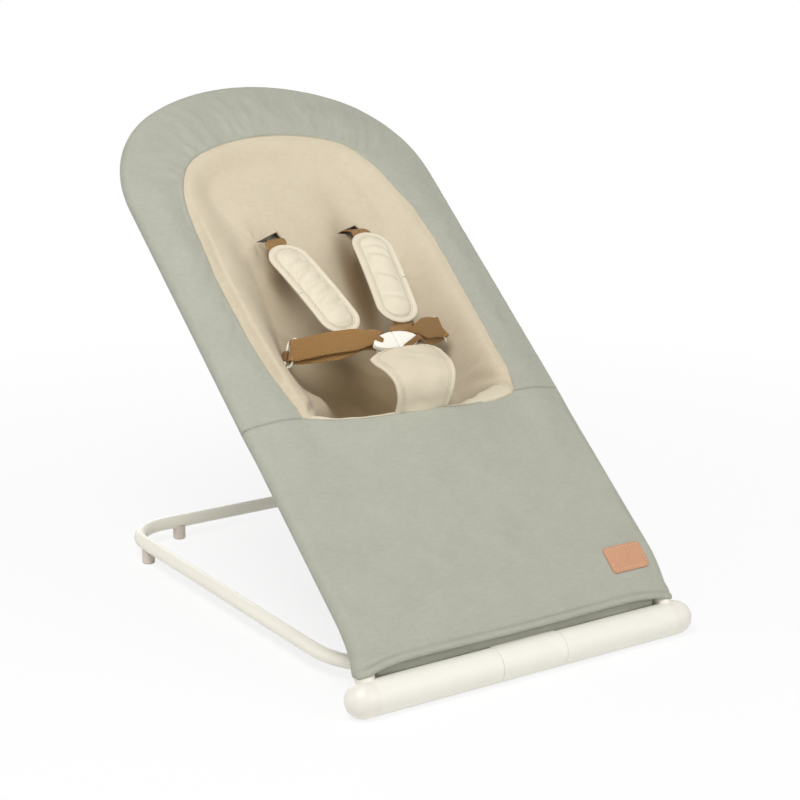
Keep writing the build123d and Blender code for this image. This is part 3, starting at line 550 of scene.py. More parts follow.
def hemLine(near):  # the hem's height, by share of the way out to the legs
    return front["bow"] * (1 - near ** 2) - front["drop"] * near ** 7


def frontEnds(across):  # where the cloth starts and ends, metres up the tube's side
    x = np.clip(across, -1, 1) * seat["half"]
    scoop = opening["scoop"] * np.maximum(1 - (x / opening["half"]) ** 2, 0)
    seamAt = seat["seam"] + slant(x, seat["seam"])
    start = hemLine(np.minimum(np.abs(across), 1)) + front["wrapUp"] * ramp(np.abs(across), 1.9, 2.8)
    return start, legRun + arcRun + (seamAt - seat["clear"] - bendRun) - scoop


def frontSurface(across, rowShare):  # across runs from -1 to 1 on the flat, and beyond it round the tubes
    start, end = frontEnds(across)
    a = start + rowShare * (end - start)
    s, n, lean = sideCurve(a)
    flatX = np.clip(across, -1, 1) * seat["half"]
    angle = np.maximum(np.abs(across) - 1, 0)
    r = front["roll"] + front["swell"] * fade(a, 0.0, front["swellRun"])
    r = r + front["seamGrow"] * ramp(a, end - front["seamRun"], end)
    borderStart = opening["half"] + border["edgeRound"]
    borderShare = np.clip((np.abs(flatX) - borderStart) / (seat["half"] - borderStart), 0, 1)
    lift = (borderTop(borderShare) - r) * ramp(a, legRun + arcRun + front["riseFrom"], end)
    bulge = ramp(a, end - front["bulgeRun"], end) * hill(flatX, 0, front["bulgeWide"])
    lift = lift + front["bulge"] * bulge
    hollow = np.sin(np.clip((a - front["sagFrom"]) / front["sagRun"], 0, 1) * math.pi) ** 1.5
    lift = lift - front["sag"] * np.cos(flatX / seat["half"] * math.pi / 2) ** 0.7 * hollow
    waves = folds(front["broad"], flatX, a) + folds(front["fine"], flatX, a)
    lift = lift + fade(a, end - front["calmRun"], end) * waves
    hem = np.sin(np.clip((a - start) / front["hemAt"], 0, 1) * math.pi)
    hem = front["hemRoll"] * (hem - front["hemDip"] * hill(a - start, front["hemAt"], front["dipWide"]))
    m = r * np.cos(angle) + np.where(angle > 0, 0.0, lift) + hem * np.cos(np.minimum(angle, math.pi / 2))
    x = flatX + np.sign(across) * r * np.sin(angle)
    return x, s - m * np.sin(lean), n + m * np.cos(lean), a


def onFront(x, a, lift):  # a spot on the front panel, a metres up from the hem
    across = np.asarray(x, float) / seat["half"]
    start, end = frontEnds(across)
    x, s, n, a = frontSurface(across, (a - start) / (end - start))
    lean = sideCurve(a)[2]
    return place(x, s - lift * np.sin(lean), n + lift * np.cos(lean))


wrap = math.radians(front["wrapEnd"])
around = np.linspace(0, wrap, front["colsWrap"] + 1)[1:]
spread = np.concatenate([-1 - around[::-1], np.linspace(-1, 1, front["colsFlat"]), 1 + around])
shares = np.concatenate([np.linspace(0, front["hemShare"], front["rowsHem"], endpoint=False),
                         np.linspace(front["hemShare"], 1, front["rowsUp"])])
frontX, frontS, frontN, frontA = frontSurface(*np.meshgrid(spread, shares))
cutX = np.minimum(np.abs(spread), 1) * seat["half"] + np.maximum(np.abs(spread) - 1, 0) * front["roll"]
frontPanel = gridMesh("frontPanel", place(frontX, frontS, frontN), pairs(np.sign(spread) * cutX, frontA))
dress(thicken(frontPanel, front["thick"], -1.0), sage, "seat", "green_fabric", "lower_panel")
print("front panel made", len(frontPanel.data.vertices))

# lining, a padded dish whose soft lip is sewn to the border's edge
lining = dict(thick=0.0022, counts=(120, 50, 81), rows=128, tailRows=44, tail=0.075, sewnLow=0.001,
              shape=dict(half=0.141, top=0.660, corner=0.078, crown=0.238), tailSpare=0.008, depth=0.088,
              bowl=2.3, seamLevel=0.0122, deepSeam=0.0044, crest=0.0168, lipWide=0.012, lipEnd=(0.036, 0.054),
              rightLip=0.25, tuck=0.0024, tuckWide=0.004, pull=0.0018, slitUp=0.0030, slitDown=-0.0015,
              broad=(0.0034, 11.0, 0.0, 9.0, 1.3), sharp=(0.0034, 8.0, 13.0, 6.0, 7.7),
              fine=(0.0016, 30.0, 0.0, 20.0, 5.5), small=(0.0022, 17.0, 5.0, 9.0, 9.4),
              frontFolds=(0.0060, 34.0, 0.0, 7.0, 3.9), rightFolds=(0.0050, 24.0, 4.0, 3.0, 4.4),
              topFolds=(0.0021, 5.0, 4.0, 34.0, 2.1), pucker=(0.0026, 105.0, 0.0, 60.0, 2.6),
              lipFolds=(0.0020, 24.0, 0.0, 30.0, 6.3))
dishAt = (0.060, 0.100, 0.144, 0.194, 0.249, 0.315, 0.380, 0.446, 0.512, 0.570, 0.615, 0.652)
dishShare = (0.02, 0.30, 0.62, 0.90, 1.0, 0.88, 0.62, 0.34, 0.13, 0.07, 0.04, 0.0)
dishRim = (-0.024, -0.020, -0.012, -0.004) + (0.0044,) * 8
tailShare = (0.55, 0.66, 0.80, 0.92, 1.0)
# a valley between the pads and a shelf in the left front corner: x, s, half sizes and height
swells = ((0.010, 0.430, 0.020, 0.060, -0.0075), (-0.079, 0.282, 0.032, 0.036, 0.0370))
# folds run out of the front corners: start, direction, length and depth
cornerFolds = ((0.122, 0.256, -0.80, 0.60, 0.050, 0.0060), (0.116, 0.250, -0.95, 0.30, 0.040, 0.0050),
               (0.126, 0.268, -0.62, 0.78, 0.045, 0.0042), (-0.122, 0.258, 0.75, 0.66, 0.040, 0.0040),
               (0.118, 0.300, -0.9, 0.42, 0.040, 0.0030))
slitS = 0.5105
slits = {"Left": dict(mid=-0.0485, half=0.0185, tall=0.0120, low=0.0030),
         "Right": dict(mid=0.0575, half=0.0150, tall=0.0060, low=0.0080)}


def tailHalf(s):  # half width of the dish below the opening
    return np.interp(s, dishAt[:5], np.array(tailShare) * opening["half"])


def dishLevel(x, s):
    wide = np.where(s < seat["seam"], tailHalf(s) + lining["tailSpare"], archHalf(lining["shape"], s))
    share = np.clip(np.abs(x) / np.maximum(wide, 1e-4), 0, 1)
    deep = lining["depth"] * softTable(s, dishAt, dishShare, 41)
    return softTable(s, dishAt, dishRim, 41) - deep * (1 - share ** lining["bowl"])


rim = np.stack(archSamples(opening, seat["seam"] - lining["sewnLow"], lining["counts"]), -1)
sideRim, topRim = rim[:lining["rows"]], rim[lining["rows"] - 1:len(rim) - lining["rows"] + 1]
cols = len(topRim)
v = np.linspace(0, 1, lining["rows"])[:, None]
u = np.linspace(0, 1, cols)[None, :]
# rows run from the opening's front edge up to its crown
baseX = np.linspace(sideRim[0, 0], -sideRim[0, 0], cols)
gx = (1 - 2 * u) * (sideRim[:, :1] - (1 - v) * baseX[0] - v * topRim[0, 0])
gx = gx + (1 - v) * baseX + v * topRim[:, 0]
gs = sideRim[:, 1:] + v * (topRim[:, 1] - topRim[0, 1])
# under the front panel the dish runs on and closes
tailS = np.linspace(lining["tail"], sideRim[0, 1], lining["tailRows"], endpoint=False)[:, None]
tailX = tailHalf(tailS) * np.linspace(-1, 1, cols)
gx, gs = np.vstack([tailX, gx]), np.vstack([np.broadcast_to(tailS, tailX.shape), gs])
away = np.linalg.norm(np.stack([gx, gs], -1)[:, :, None] - rim, axis=-1)
gap, at = away.min(-1), runLength(rim)[away.argmin(-1)]
deep = folds(lining["broad"], gx, gs)
deep = deep + creases(lining["sharp"], gx, gs) * (1 - 0.85 * ramp(gs, 0.42, 0.54))
little = folds(lining["fine"], gx, gs) + creases(lining["small"], gx, gs)
deep = deep + little * (1 - 0.7 * ramp(gs, 0.45, 0.56))
deep = deep + folds(lining["frontFolds"], gx, gs) * hill(gs, 0.285, 0.05)
deep = deep + folds(lining["rightFolds"], gx, gs) * ramp(gx, 0.01, 0.08) * (1 - 0.6 * ramp(gs, 0.50, 0.58))
gn = dishLevel(gx, gs) + deep * ramp(gap, 0.004, 0.05)
for x, s, wide, tall, high in swells:
    gn = gn + high * hill(gx, x, wide) * hill(gs, s, tall)
gn = gn + folds(lining["topFolds"], gx, gs) * ramp(gs, 0.520, 0.565) * ramp(gap, 0.006, 0.030)
for slit in slits.values():  # pulled from the slits' tips
    fromX, fromS = gx - (slit["mid"] - slit["half"]), gs - slitS
    fan = ripple(np.arctan2(fromS, -fromX) * 1.9, 0.4, slit["mid"] * 40)
    reach = np.hypot(fromX, fromS)
    gn = gn + lining["pull"] * fan * hill(reach, 0, 0.030) * ramp(reach, 0.0, 0.010)
puffed = np.where(gx < 0, 1.0, lining["rightLip"]) * fade(gs, 0.47, 0.58)  # full on the left, fades upwards
low = leftSide(gx, gs, *border["deepSeam"]) * fade(gap, 0.001, 0.008)
lip = lining["seamLevel"] - lining["deepSeam"] * low
swollen = np.sin(np.clip(gap / lining["lipWide"], 0, 1) * math.pi * 0.62)
lip = lip + puffed * (lining["crest"] - lining["seamLevel"]) * swollen
lip = lip + puffed * folds(lining["pucker"], at, gap) * hill(gap, 0.003, 0.005)
lip = lip + (0.2 + 0.8 * puffed) * folds(lining["lipFolds"], at, gap) * hill(gap, 0.008, 0.009)
narrow, broad = lining["lipEnd"]
lipEnd = narrow + (broad - narrow) * ramp(-gx, 0.03, 0.09) * fade(gs, 0.50, 0.60)
held = fade(gap, 0.005, lipEnd) * ramp(gs, 0.222, 0.250)
gn = gn * (1 - held) + lip * held
for side, strength in ((-1, 0.0036), (1, 0.0060)):  # gathers in the front corners
    reach = np.hypot((gx - side * 0.120) / 0.026, (gs - 0.262) / 0.030)
    fan = np.arctan2(gs - 0.235, side * (gx - side * 0.150)) * 3.2
    gn = gn + strength * hill(reach, 0, 1) * ripple(fan, reach * 0.7, 8.8 + side)
for x, s, dirX, dirS, long, high in cornerFolds:
    out, off = (gx - x) * dirX + (gs - s) * dirS, (gs - s) * dirX - (gx - x) * dirS
    ridge = 0.5 * hill(off, 0.008, 0.006) - hill(off, 0, 0.0035)
    gn = gn + high * ridge * ramp(out, -0.012, 0.006) * fade(out, 0.3 * long, long)
wide = np.where(gs < seat["seam"], tailHalf(gs), archHalf(opening, gs))
atSeam = ramp(gs, 0.235, 0.249)
gx = gx + barrel(gx, gs) * np.clip(np.abs(gx) / np.maximum(wide, 0.02), 0, 1) ** 2.5 * atSeam
gx = gx + np.sign(gx) * lining["tuck"] * np.clip(1 - gap / lining["tuckWide"], 0, 1) * atSeam
gs = gs + slant(gx, gs) * ramp(gs, 0.15, 0.24)
dish = gridMesh("seatLining", place(gx, gs, gn), pairs(gx, gs))


def slitShare(x):  # 1 at the narrow tip, -1 at the wide end
    slit = slits["Left" if x < 0 else "Right"]
    return (slit["mid"] - x) / slit["half"]


def slitEdges(x):  # the slit's upper and lower edge at x, and how wide it opens from its tip
    slit, p = slits["Left" if x < 0 else "Right"], slitShare(x)
    bow = max(0.0, (1 - p) / 2) * float(fade(-p, 0.62, 1.0)) if p > -1 else 0.0
    return slit["tall"] * bow, -slit["low"] * bow, bow


def seatSpot(co):  # across and up the slope, from the slits' line
    rel = np.array(co) - vertex
    return rel[0], float(rel @ upDir) - slitS


def inSlit(face):
    x, s = seatSpot(face.calc_center_median())
    high, low, bow = slitEdges(x)
    return bow > 0 and low < s < high


def nearSlit(face):
    x, s = seatSpot(face.calc_center_median())
    return abs(slitShare(x)) < 1.3 and abs(s) < 0.022


cut = bmesh.new()
cut.from_mesh(dish.data)
fineEdges = list(dict.fromkeys(edge for face in cut.faces if nearSlit(face) for edge in face.edges))
bmesh.ops.subdivide_edges(cut, edges=fineEdges, cuts=3, use_grid_fill=True, smooth=0.0)
bmesh.ops.delete(cut, geom=[face for face in cut.faces if inSlit(face)], context="FACES")
for spot in cut.verts:
    x, s = seatSpot(spot.co)
    if abs(slitShare(x)) < 1.05 and abs(s) < 0.016:
        high, low, bow = slitEdges(x)
        above = s > (high + low) / 2
        goal = high if above else low
        if spot.is_boundary:
            spot.co += Vector(upDir * (goal - s))
        curl = lining["slitUp"] if above else lining["slitDown"]
        spot.co += Vector(outDir * curl * bow * hill(s, goal, 0.004))
cut.to_mesh(dish.data)
cut.free()
dish.data.shade_smooth()
dress(thicken(dish, lining["thick"], -1.0), liningCreamPaintedShade, "seat", "cream_fabric", "seat_bucket")
print("lining made", len(dish.data.vertices))

# green facing that shows in each slit
facing = dict(spare=0.006, low=0.010, high=0.018, sunk=0.0085, thick=0.0012)
for sideName, slit in slits.items():
    reach = slit["half"] + facing["spare"]
    faceX, faceS = np.meshgrid(np.linspace(slit["mid"] - reach, slit["mid"] + reach, 14),
                               np.linspace(slitS - facing["low"], slitS + facing["high"], 10))
    points = place(faceX, faceS, dishLevel(faceX, faceS) - facing["sunk"])
    made = gridMesh("slitFacing" + sideName, points, pairs(faceX, faceS))
    dress(thicken(made, facing["thick"], 0.0), sage, "seat", "green_fabric")

# the lining's lip along the front edge, a soft roll behind the green
frontLip = dict(count=150, around=18, half=0.131, deep=0.0022, tall=0.0026, cornerDeep=0.0088,
                cornerTall=0.0018, behind=0.0010, sunk=0.0042, cornerUp=0.0006, lean=0.35,
                fat=(0.25, 70.0, 0.0, 1.0, 4.6), pinch=(0.0007, 0.8, 0.0, 120.0, 3.4))
lipX = np.linspace(-frontLip["half"], frontLip["half"], frontLip["count"])
_, sewnS, sewnN, _ = frontSurface(lipX / seat["half"], np.ones_like(lipX))
lipX, sewnS, sewnN = lipX[:, None], sewnS[:, None], sewnN[:, None]
fat = 1 + folds(frontLip["fat"], lipX, 0.3)
corner = ramp(lipX, 0.040, 0.122) + 0.45 * ramp(-lipX, 0.098, 0.128)
deep = (frontLip["deep"] + frontLip["cornerDeep"] * corner) * fat
tall = (frontLip["tall"] + frontLip["cornerTall"] * corner) * fat
ring = np.linspace(0, 2 * math.pi, frontLip["around"], endpoint=False)
pinch = folds(frontLip["pinch"], ring, lipX) * corner
lipS, lipN = (deep + pinch) * np.cos(ring), (tall + pinch) * np.sin(ring)
lipN = lipN + sewnN - frontLip["sunk"] + frontLip["cornerUp"] * corner - frontLip["lean"] * lipS
lipGrid = place(lipX, sewnS + frontLip["behind"] + deep * 0.55 + lipS, lipN)
lipUv = pairs(np.append(ring, 2 * math.pi) * deep, lipX)
liningLip = outward(gridMesh("liningLip", lipGrid, lipUv, wrapCols=True, caps=True))
dress(liningLip, cream, "seat", "cream_fabric")

# under layer that hangs behind the lining
under = dict(thick=0.0016, depth=0.098, low=-0.0195, top=0.712, rows=110, cols=80, crowd=1.25,
             shape=dict(half=0.18185, top=0.71985, corner=0.13085, crown=0.24085),
             broad=(0.0018, 12.0, 0.0, 8.0, 5.1), sharp=(0.0012, 14.0, -9.0, 7.0, 3.3))
backAt = (-0.042, -0.019, 0.040, 0.099, 0.161, 0.249, 0.341, 0.433, 0.525, 0.599, 0.650, 0.687, 0.712)
backShare = (0.0, 0.01, 0.26, 0.60, 0.88, 1.0, 0.86, 0.64, 0.38, 0.20, 0.12, 0.07, 0.04)
backU = np.linspace(-1, 1, under["cols"])
backV = np.linspace(0, 1, under["rows"])[:, None] ** under["crowd"]
backS = under["low"] + (under["top"] - under["low"]) * backV
backX = archHalf(under["shape"], backS) * backU
backN = np.minimum(backS, 0) * math.tan(turn)
backN = backN - under["depth"] * softTable(backS, backAt, backShare, 41) * (1 - backU ** 2)
waves = folds(under["broad"], backX, backS) + creases(under["sharp"], backX, backS)
backN = backN + waves * (1 - backU ** 6)
underLayer = gridMesh("underLayer", place(backX, backS, backN), pairs(backX, backS))
dress(thicken(underLayer, under["thick"], 0.0), sage, "seat", "green_fabric", "back_panel")

# strip of it between the bar and the hem
strip = dict(half=0.1860, near=0.0189, long=0.0291, off=0.0004, bow=0.0034, endIn=0.0085,
             ends=(0.176, 0.184), waves=(0.0007, 22.0, 0.0, 1.5, 7.3))
stripX = np.linspace(-strip["half"], strip["half"], 124)
stripF = np.linspace(0, 1, 22)[:, None]
off = strip["off"] + strip["bow"] * np.sin(stripF ** 0.7 * math.pi) + folds(strip["waves"], stripX, stripF)
off = off - strip["endIn"] * ramp(np.abs(stripX), *strip["ends"])
reach = strip["near"] + strip["long"] * stripF + 0 * stripX
offLeg = np.array([0, -leg[1], leg[0]])
points = barMid + reach[..., None] * legDir + off[..., None] * offLeg + stripX[:, None] * acrossDir
hemStrip = thicken(gridMesh("hemStrip", points, pairs(stripX, reach)), under["thick"], 0.0)
wear(hemStrip, sage)
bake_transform(hemStrip)
print("under layer made")


def ribbon(name, path, aside, width, finish, *stands):  # flat web along a path
    ahead = unit(np.gradient(path, axis=0))
    aside = np.broadcast_to(unit(aside), path.shape)
    aside = unit(aside - ahead * np.sum(aside * ahead, -1, keepdims=True))
    above = np.cross(ahead, aside)
    h, t = harness["web"] / 2, harness["thick"] / 2
    half = np.array([(-h + t, -t), (-h / 2, -t), (0, -t), (h / 2, -t), (h - t, -t), (h - 0.3 * t, -0.7 * t),
                     (h, 0), (h - 0.3 * t, 0.7 * t)])
    section = np.vstack([half, -half])
    grow = np.broadcast_to(np.asarray(width) / (2 * h), len(path))[:, None, None]
    grid = path[:, None] + aside[:, None] * section[:, :1] * grow + above[:, None] * section[:, 1:]
    uv = pairs(np.append(section[:, 0], section[0, 0]), runLength(path)[:, None])
    made = outward(gridMesh(name, grid, uv, wrapCols=True, caps=True))
    return dress(made, finish, "seat", "webbing", *stands)


# harness webs, in metres across, up the slope and out: through the slits, then down to the buckle
harness = dict(web=0.025, thick=0.0015, gathered=0.74)
strapTops = {"Left": [(0.0395, 0.5210, -0.0240), (0.0402, 0.5150, -0.0120), (0.0435, 0.5080, -0.0030),
                      (0.0510, 0.4970, 0.0060)],
             "Right": [(0.0590, 0.5210, -0.0240), (0.0590, 0.5150, -0.0120), (0.0595, 0.5080, -0.0030),
                       (0.0605, 0.4990, 0.0060)]}
strapRun = [(0.0580, 0.4840, 0.0120), (0.0510, 0.4360, 0.0180), (0.0430, 0.3820, 0.0225),
            (0.0360, 0.3440, 0.0270), (0.0260, 0.3370, 0.0335), (0.0195, 0.3310, 0.0380),
            (0.0160, 0.3235, 0.0412)]
for sideName, side in sides:
    path = smoothRun([place(side * x, s, n) for x, s, n in strapTops[sideName] + strapRun], 70)
    width = harness["web"] * (harness["gathered"] + (1 - harness["gathered"]) * ramp(np.arange(70), 5, 16))
    ribbon("shoulderStrap" + sideName, path, acrossDir, width, tanWeb, "shoulder_strap_" + sideName.lower())
print("shoulder straps made")

# shoulder pads, a puffed centre inside a bound edge
pad = dict(length=0.146, width=0.051, centre=0.0078, low=0.0013, bind=0.0056, bindHigh=0.0024, bindLow=0.0015,
           stitch=0.0086, channel=0.0016, groove=0.0005, grooveWide=0.0009, bow=0.0030, around=200,
           bindRings=9, channelRings=6, puffRings=19, softRun=0.006, jointAt=0.004, joint=0.0006,
           jointWide=0.0007, backFolds=0.5, backFlat=0.75, puffs=0.0022, rows=(0.0068, 0.0088),
           gather=(0.0016, 115.0, 0.0, 20.0), gatherWide=0.004, fine=(0.00025, 160.0, 0.0, 60.0, 3.0))
padEnds = {"Left": ((0.0585, 0.4845, 0.0150), (0.0370, 0.3410, 0.0290)),
           "Right": ((0.0625, 0.4905, 0.0150), (0.0325, 0.3410, 0.0290))}
# place along the pad, bend, lean and depth of each crease
padCreases = {"Left": ((-0.041, 0.5, -0.10, 0.0024), (-0.022, 0.6, -0.25, 0.0034),
                       (-0.002, -0.4, -0.20, 0.0030), (0.016, 0.5, -0.32, 0.0036),
                       (0.036, -0.5, -0.15, 0.0022)),
              "Right": ((-0.046, 0.4, 0.10, 0.0030), (-0.031, 0.7, 0.30, 0.0026),
                        (0.004, -0.5, 0.42, 0.0016), (0.038, -0.6, 0.20, 0.0018))}
padRows, padJoints = {}, {}


def padHeight(d):  # half thickness at d in from the edge
    bind, stitch = pad["bind"], pad["stitch"]
    binding = pad["bindHigh"] * np.sqrt(np.clip(1 - ((d - bind / 2) / (bind / 2 + 0.0002)) ** 2, 0, 1))
    binding = np.maximum(binding, pad["bindLow"] * ramp(d, 0.003, bind))
    channel = pad["channel"] - pad["groove"] * hill(d, stitch, pad["grooveWide"])
    inward = np.clip((d - stitch) / (pad["width"] / 2 - stitch), 0, 1)
    full = pad["low"] + (pad["centre"] - pad["low"]) * np.sin(inward * math.pi / 2) ** 0.72
    return np.where(d < bind, binding, np.where(d < stitch, channel, full))


def padFolds(sideName, side, p, q):  # creases across the puffed centre
    high = pad["puffs"] * ripple(p * 45.0 + side * 16.0 * np.abs(q), q * 16.0, 4.2 + side)
    for spot, bend, lean, deep in padCreases[sideName]:
        line = p - spot - bend * q * q * 16.0 - lean * q
        high = high + deep * (0.70 * hill(line, 0.0085, 0.0070) - hill(line, 0, 0.0044))
    return high


def makePad(sideName, side):
    body = "shoulder_pad_" + sideName.lower()
    top, low = (place(side * x, s, n) for x, s, n in padEnds[sideName])
    ahead = unit(low - top)
    aside = unit(acrossDir - ahead * ahead[0])
    above = np.cross(aside, ahead)
    above = above if np.dot(above, outDir) > 0 else -above
    radius = pad["width"] / 2
    straight, bend = pad["length"] - pad["width"], math.pi * radius
    run = np.linspace(0, 2 * (straight + bend), pad["around"], endpoint=False)
    angle = (np.clip(run - straight, 0, bend) + np.clip(run - 2 * straight - bend, 0, bend)) / radius
    spine = straight / 2 - np.clip(run, 0, straight) + np.clip(run - straight - bend, 0, straight)

    def inFrom(d):  # along and across the pad, d in from its edge
        return spine - (radius - d) * np.sin(angle), (radius - d) * np.cos(angle)

    def point(p, q, h):  # along, across and above the pad
        bowed = pad["bow"] * (1 - (2 * p / pad["length"]) ** 2)
        return (top + low) / 2 + p[:, None] * ahead + q[:, None] * aside + (h + bowed)[:, None] * above

    bind, stitch = pad["bind"], pad["stitch"]
    steps = np.concatenate([np.linspace(0, bind, pad["bindRings"]),
                            np.linspace(bind + 0.0003, stitch, pad["channelRings"]),
                            np.linspace(stitch + 0.0008, radius, pad["puffRings"])])
    gatherWave = pad["gather"] + (7.1 + side,)
    grid, uv = [], []
    for face, order, share, flat in ((1, steps[::-1], 1.0, 1.0),
                                     (-1, steps[1:], pad["backFolds"], pad["backFlat"])):
        for d in order:
            p, q = inFrom(d)
            soft = ramp(d, stitch, stitch + pad["softRun"])
            gather = folds(gatherWave, p, q) * hill(d, stitch + pad["softRun"] / 2, pad["gatherWide"])
            h = padHeight(d) + (padFolds(sideName, side, p, q) + gather) * soft * share
            # where the binding's ends meet
            notch = pad["joint"] * hill(p, pad["jointAt"], pad["jointWide"]) * (q * side > 0)
            edge = (folds(pad["fine"], p, q) - notch) * (1 - soft)
            grid.append(point(p, q, face * (h * flat + edge)))
            uv.append(pairs(np.append(q, q[0]), np.append(p, p[0])))
    made = outward(gridMesh("shoulderPad" + sideName, np.array(grid), np.array(uv), wrapCols=True), 0.00003)
    made.data.shade_smooth()
    dress(made, padCream, body, "pad_fabric", body)
    padRows[sideName] = []
    for d in pad["rows"]:
        row = point(*inFrom(d), np.full(len(run), padHeight(d) + 0.0001))
        padRows[sideName].append(np.vstack([row, row[:1]]))
    joint = np.linspace(0.0008, bind, 12)
    jointHigh = padHeight(joint) + 0.0002
    padJoints[sideName] = point(np.full(12, pad["jointAt"]), side * (radius - joint), jointHigh)


for sideName, side in sides:
    makePad(sideName, side)
print("pads made")

# crotch panel, padded cloth that stands up in front of the buckle
crotch = dict(foot=0.0345, wide=0.0450, puff=0.0011, flat=0.0017, bind=0.0052, bindHigh=0.0024,
              bindLow=0.0016, stitches=(0.0066, 0.0092), groove=0.0004, grooveWide=0.0008, rows=90, cols=44,
              lastTurn=0.009, tip=0.0006, leftOut=0.10, droop=(0.0030, 0.0070), footDroop=0.0050,
              broad=(0.0018, 45.0, 0.0, 40.0, 5.5), sharp=(0.0010, 26.0, 30.0, 30.0, 2.9))
crotchPath = smoothRun([(0.188, 0.0090), (0.206, 0.0150), (0.2215, 0.0235), (0.2310, 0.0360),
                        (0.2370, 0.0490), (0.2465, 0.0590), (0.2600, 0.0620), (0.271, 0.0607),
                        (0.2825, 0.0580), (0.2950, 0.0552)], crotch["rows"])
crotchRun = runLength(crotchPath)
crotchAhead = unit(np.gradient(crotchPath, axis=0))


def crotchWide(k):  # half width of a row, rounded off at the top
    wide = crotch["foot"] + (crotch["wide"] - crotch["foot"]) * ramp(crotchRun[k], 0.045, 0.118)
    left = max(0.0, (crotchRun[k] - (crotchRun[-1] - crotch["lastTurn"])) / crotch["lastTurn"])
    return wide * (1 - left ** 1.5) ** 0.45 if left < 1 else crotch["tip"]


def crotchPoint(k, share, lift):  # row, -1 to 1 across, lift off the middle layer
    a, end = crotchRun[k], crotchRun[-1]
    x = share * crotchWide(k) * (1 + crotch["leftOut"] * (share < 0) * ramp(a, 0.080, 0.122))
    droop = np.where(x < 0, *crotch["droop"]) * np.abs(x / crotch["wide"]) ** 2.5
    lift = lift - droop * ramp(a, end - 0.050, end - 0.006)
    lift = lift + folds(crotch["broad"], x, a) * (1 - share ** 4)
    lift = lift + creases(crotch["sharp"], x, a) * (1 - share ** 4) * ramp(a, 0.035, 0.06)
    lift = lift - crotch["footDroop"] * (x / crotch["foot"]) ** 2 * fade(a, 0.038, 0.060)
    s, n = crotchPath[k]
    aheadS, aheadN = crotchAhead[k]
    return place(x, s - aheadN * lift, n + aheadS * lift), x


def crotchHalf(share, wide):  # half thickness across
    d, bind = (1 - np.abs(share)) * wide, crotch["bind"]
    bound = crotch["bindHigh"] * np.sqrt(np.clip(1 - ((d - bind / 2) / (bind / 2 + 0.0001)) ** 2, 0, 1))
    bound = np.maximum(bound, crotch["bindLow"] * ramp(d, bind / 2, bind))
    grooves = sum(hill(d, inset, crotch["grooveWide"]) for inset in crotch["stitches"])
    sewn = crotch["flat"] - crotch["groove"] * grooves
    return np.where(d < bind, bound, sewn + crotch["puff"] * ramp(d, 0.0095, 0.022))


even = np.linspace(-1, 1, crotch["cols"])
fine = 0.6 * np.sin(even * math.pi / 2) + 0.4 * even  # closer rows near the edges
grid, uv = [], []
for k in range(crotch["rows"]):
    thin = crotchHalf(fine, crotchWide(k))
    upper, upperX = crotchPoint(k, fine, thin)
    lower, lowerX = crotchPoint(k, fine[-2:0:-1], -thin[-2:0:-1])
    grid.append(np.vstack([upper, lower]))
    uv.append(pairs(np.concatenate([upperX, lowerX, upperX[:1]]), crotchRun[k]))
crotchPanel = outward(gridMesh("crotchPanel", np.array(grid), np.array(uv), wrapCols=True, caps=True))
dress(crotchPanel, cream, "seat", "cream_fabric", "crotch_panel")
crotchRows = []
for inset in crotch["stitches"]:
    for _, side in sides:
        row = []
        for k in range(4, crotch["rows"] - 1):
            wide = crotchWide(k)
            if wide > inset + 0.004:
                share = np.array([side * (1 - inset / wide)])
                row.append(crotchPoint(k, share, crotchHalf(share, wide) + 0.0002)[0][0])
        crotchRows.append(np.array(row))
print("crotch panel made")


def slab(name, outline, low, high, bevel):  # bevelled plate from a flat outline in the seat frame
    count = len(outline)
    x, s = np.array(outline).T
    points = np.vstack([place(x, s, low), place(x, s, high)])
    faces = [tuple(range(count))[::-1], tuple(range(count, 2 * count))]
    faces += [(i, (i + 1) % count, count + (i + 1) % count, count + i) for i in range(count)]
    mesh = bpy.data.meshes.new(name)
    mesh.from_pydata(points.tolist(), [], faces)
    made = outward(linked(name, mesh))
    soften = made.modifiers.new("soften", "BEVEL")
    soften.width, soften.segments = bevel, 4
    soften.limit_method, soften.angle_limit = "ANGLE", math.radians(50)
    baked(made)
    made.data.shade_smooth()
    return made


# buckle, a lens of two tongues over a cover with the button's bore
lens = dict(half=0.0285, split=0.0003, shift=-0.0015, mid=0.3075, high=0.0140, low=0.0085,
            span=(0.0432, 0.0496), bevel=0.0012)
cover = dict(corners=((0.010, 0.2900, 0, 0.015), (-0.010, 0.2900, 90, 0.015), (-0.017, 0.2850, 180, 0.008),
                      (0.017, 0.2850, 270, 0.008)), span=(0.0412, 0.0470), bevel=0.0014,
             boreAt=0.2914, bore=0.0083, boreSpan=(0.0400, 0.0500))
for sideName, side in sides:
    outline = []
    for t in np.linspace(0, math.pi, 41):
        tall = lens["high"] if t < math.pi / 2 else lens["low"]
        outline.append((side * (lens["split"] + lens["half"] * math.sin(t)) + lens["shift"],
                        lens["mid"] + tall * math.cos(t)))
    made = slab("buckleTongue" + sideName, outline, *lens["span"], lens["bevel"])
    dress(made, buckleShell, "seat", "buckle_plastic", "buckle_tongue_" + sideName.lower())
made = slab("buckleCover", quarters(cover["corners"]), *cover["span"], cover["bevel"])
circle = [(cover["bore"] * math.cos(t), cover["boreAt"] + cover["bore"] * math.sin(t))
          for t in np.linspace(0, 2 * math.pi, 48, endpoint=False)]
bore = slab("buckleBore", circle, *cover["boreSpan"], 0.0)
hollow = made.modifiers.new("bore", "BOOLEAN")
hollow.operation, hollow.object, hollow.solver = "DIFFERENCE", bore, "EXACT"
baked(made)
bpy.data.objects.remove(bore)
made.data.shade_smooth()
dress(made, buckleShell, "seat", "buckle_plastic", "buckle_front")

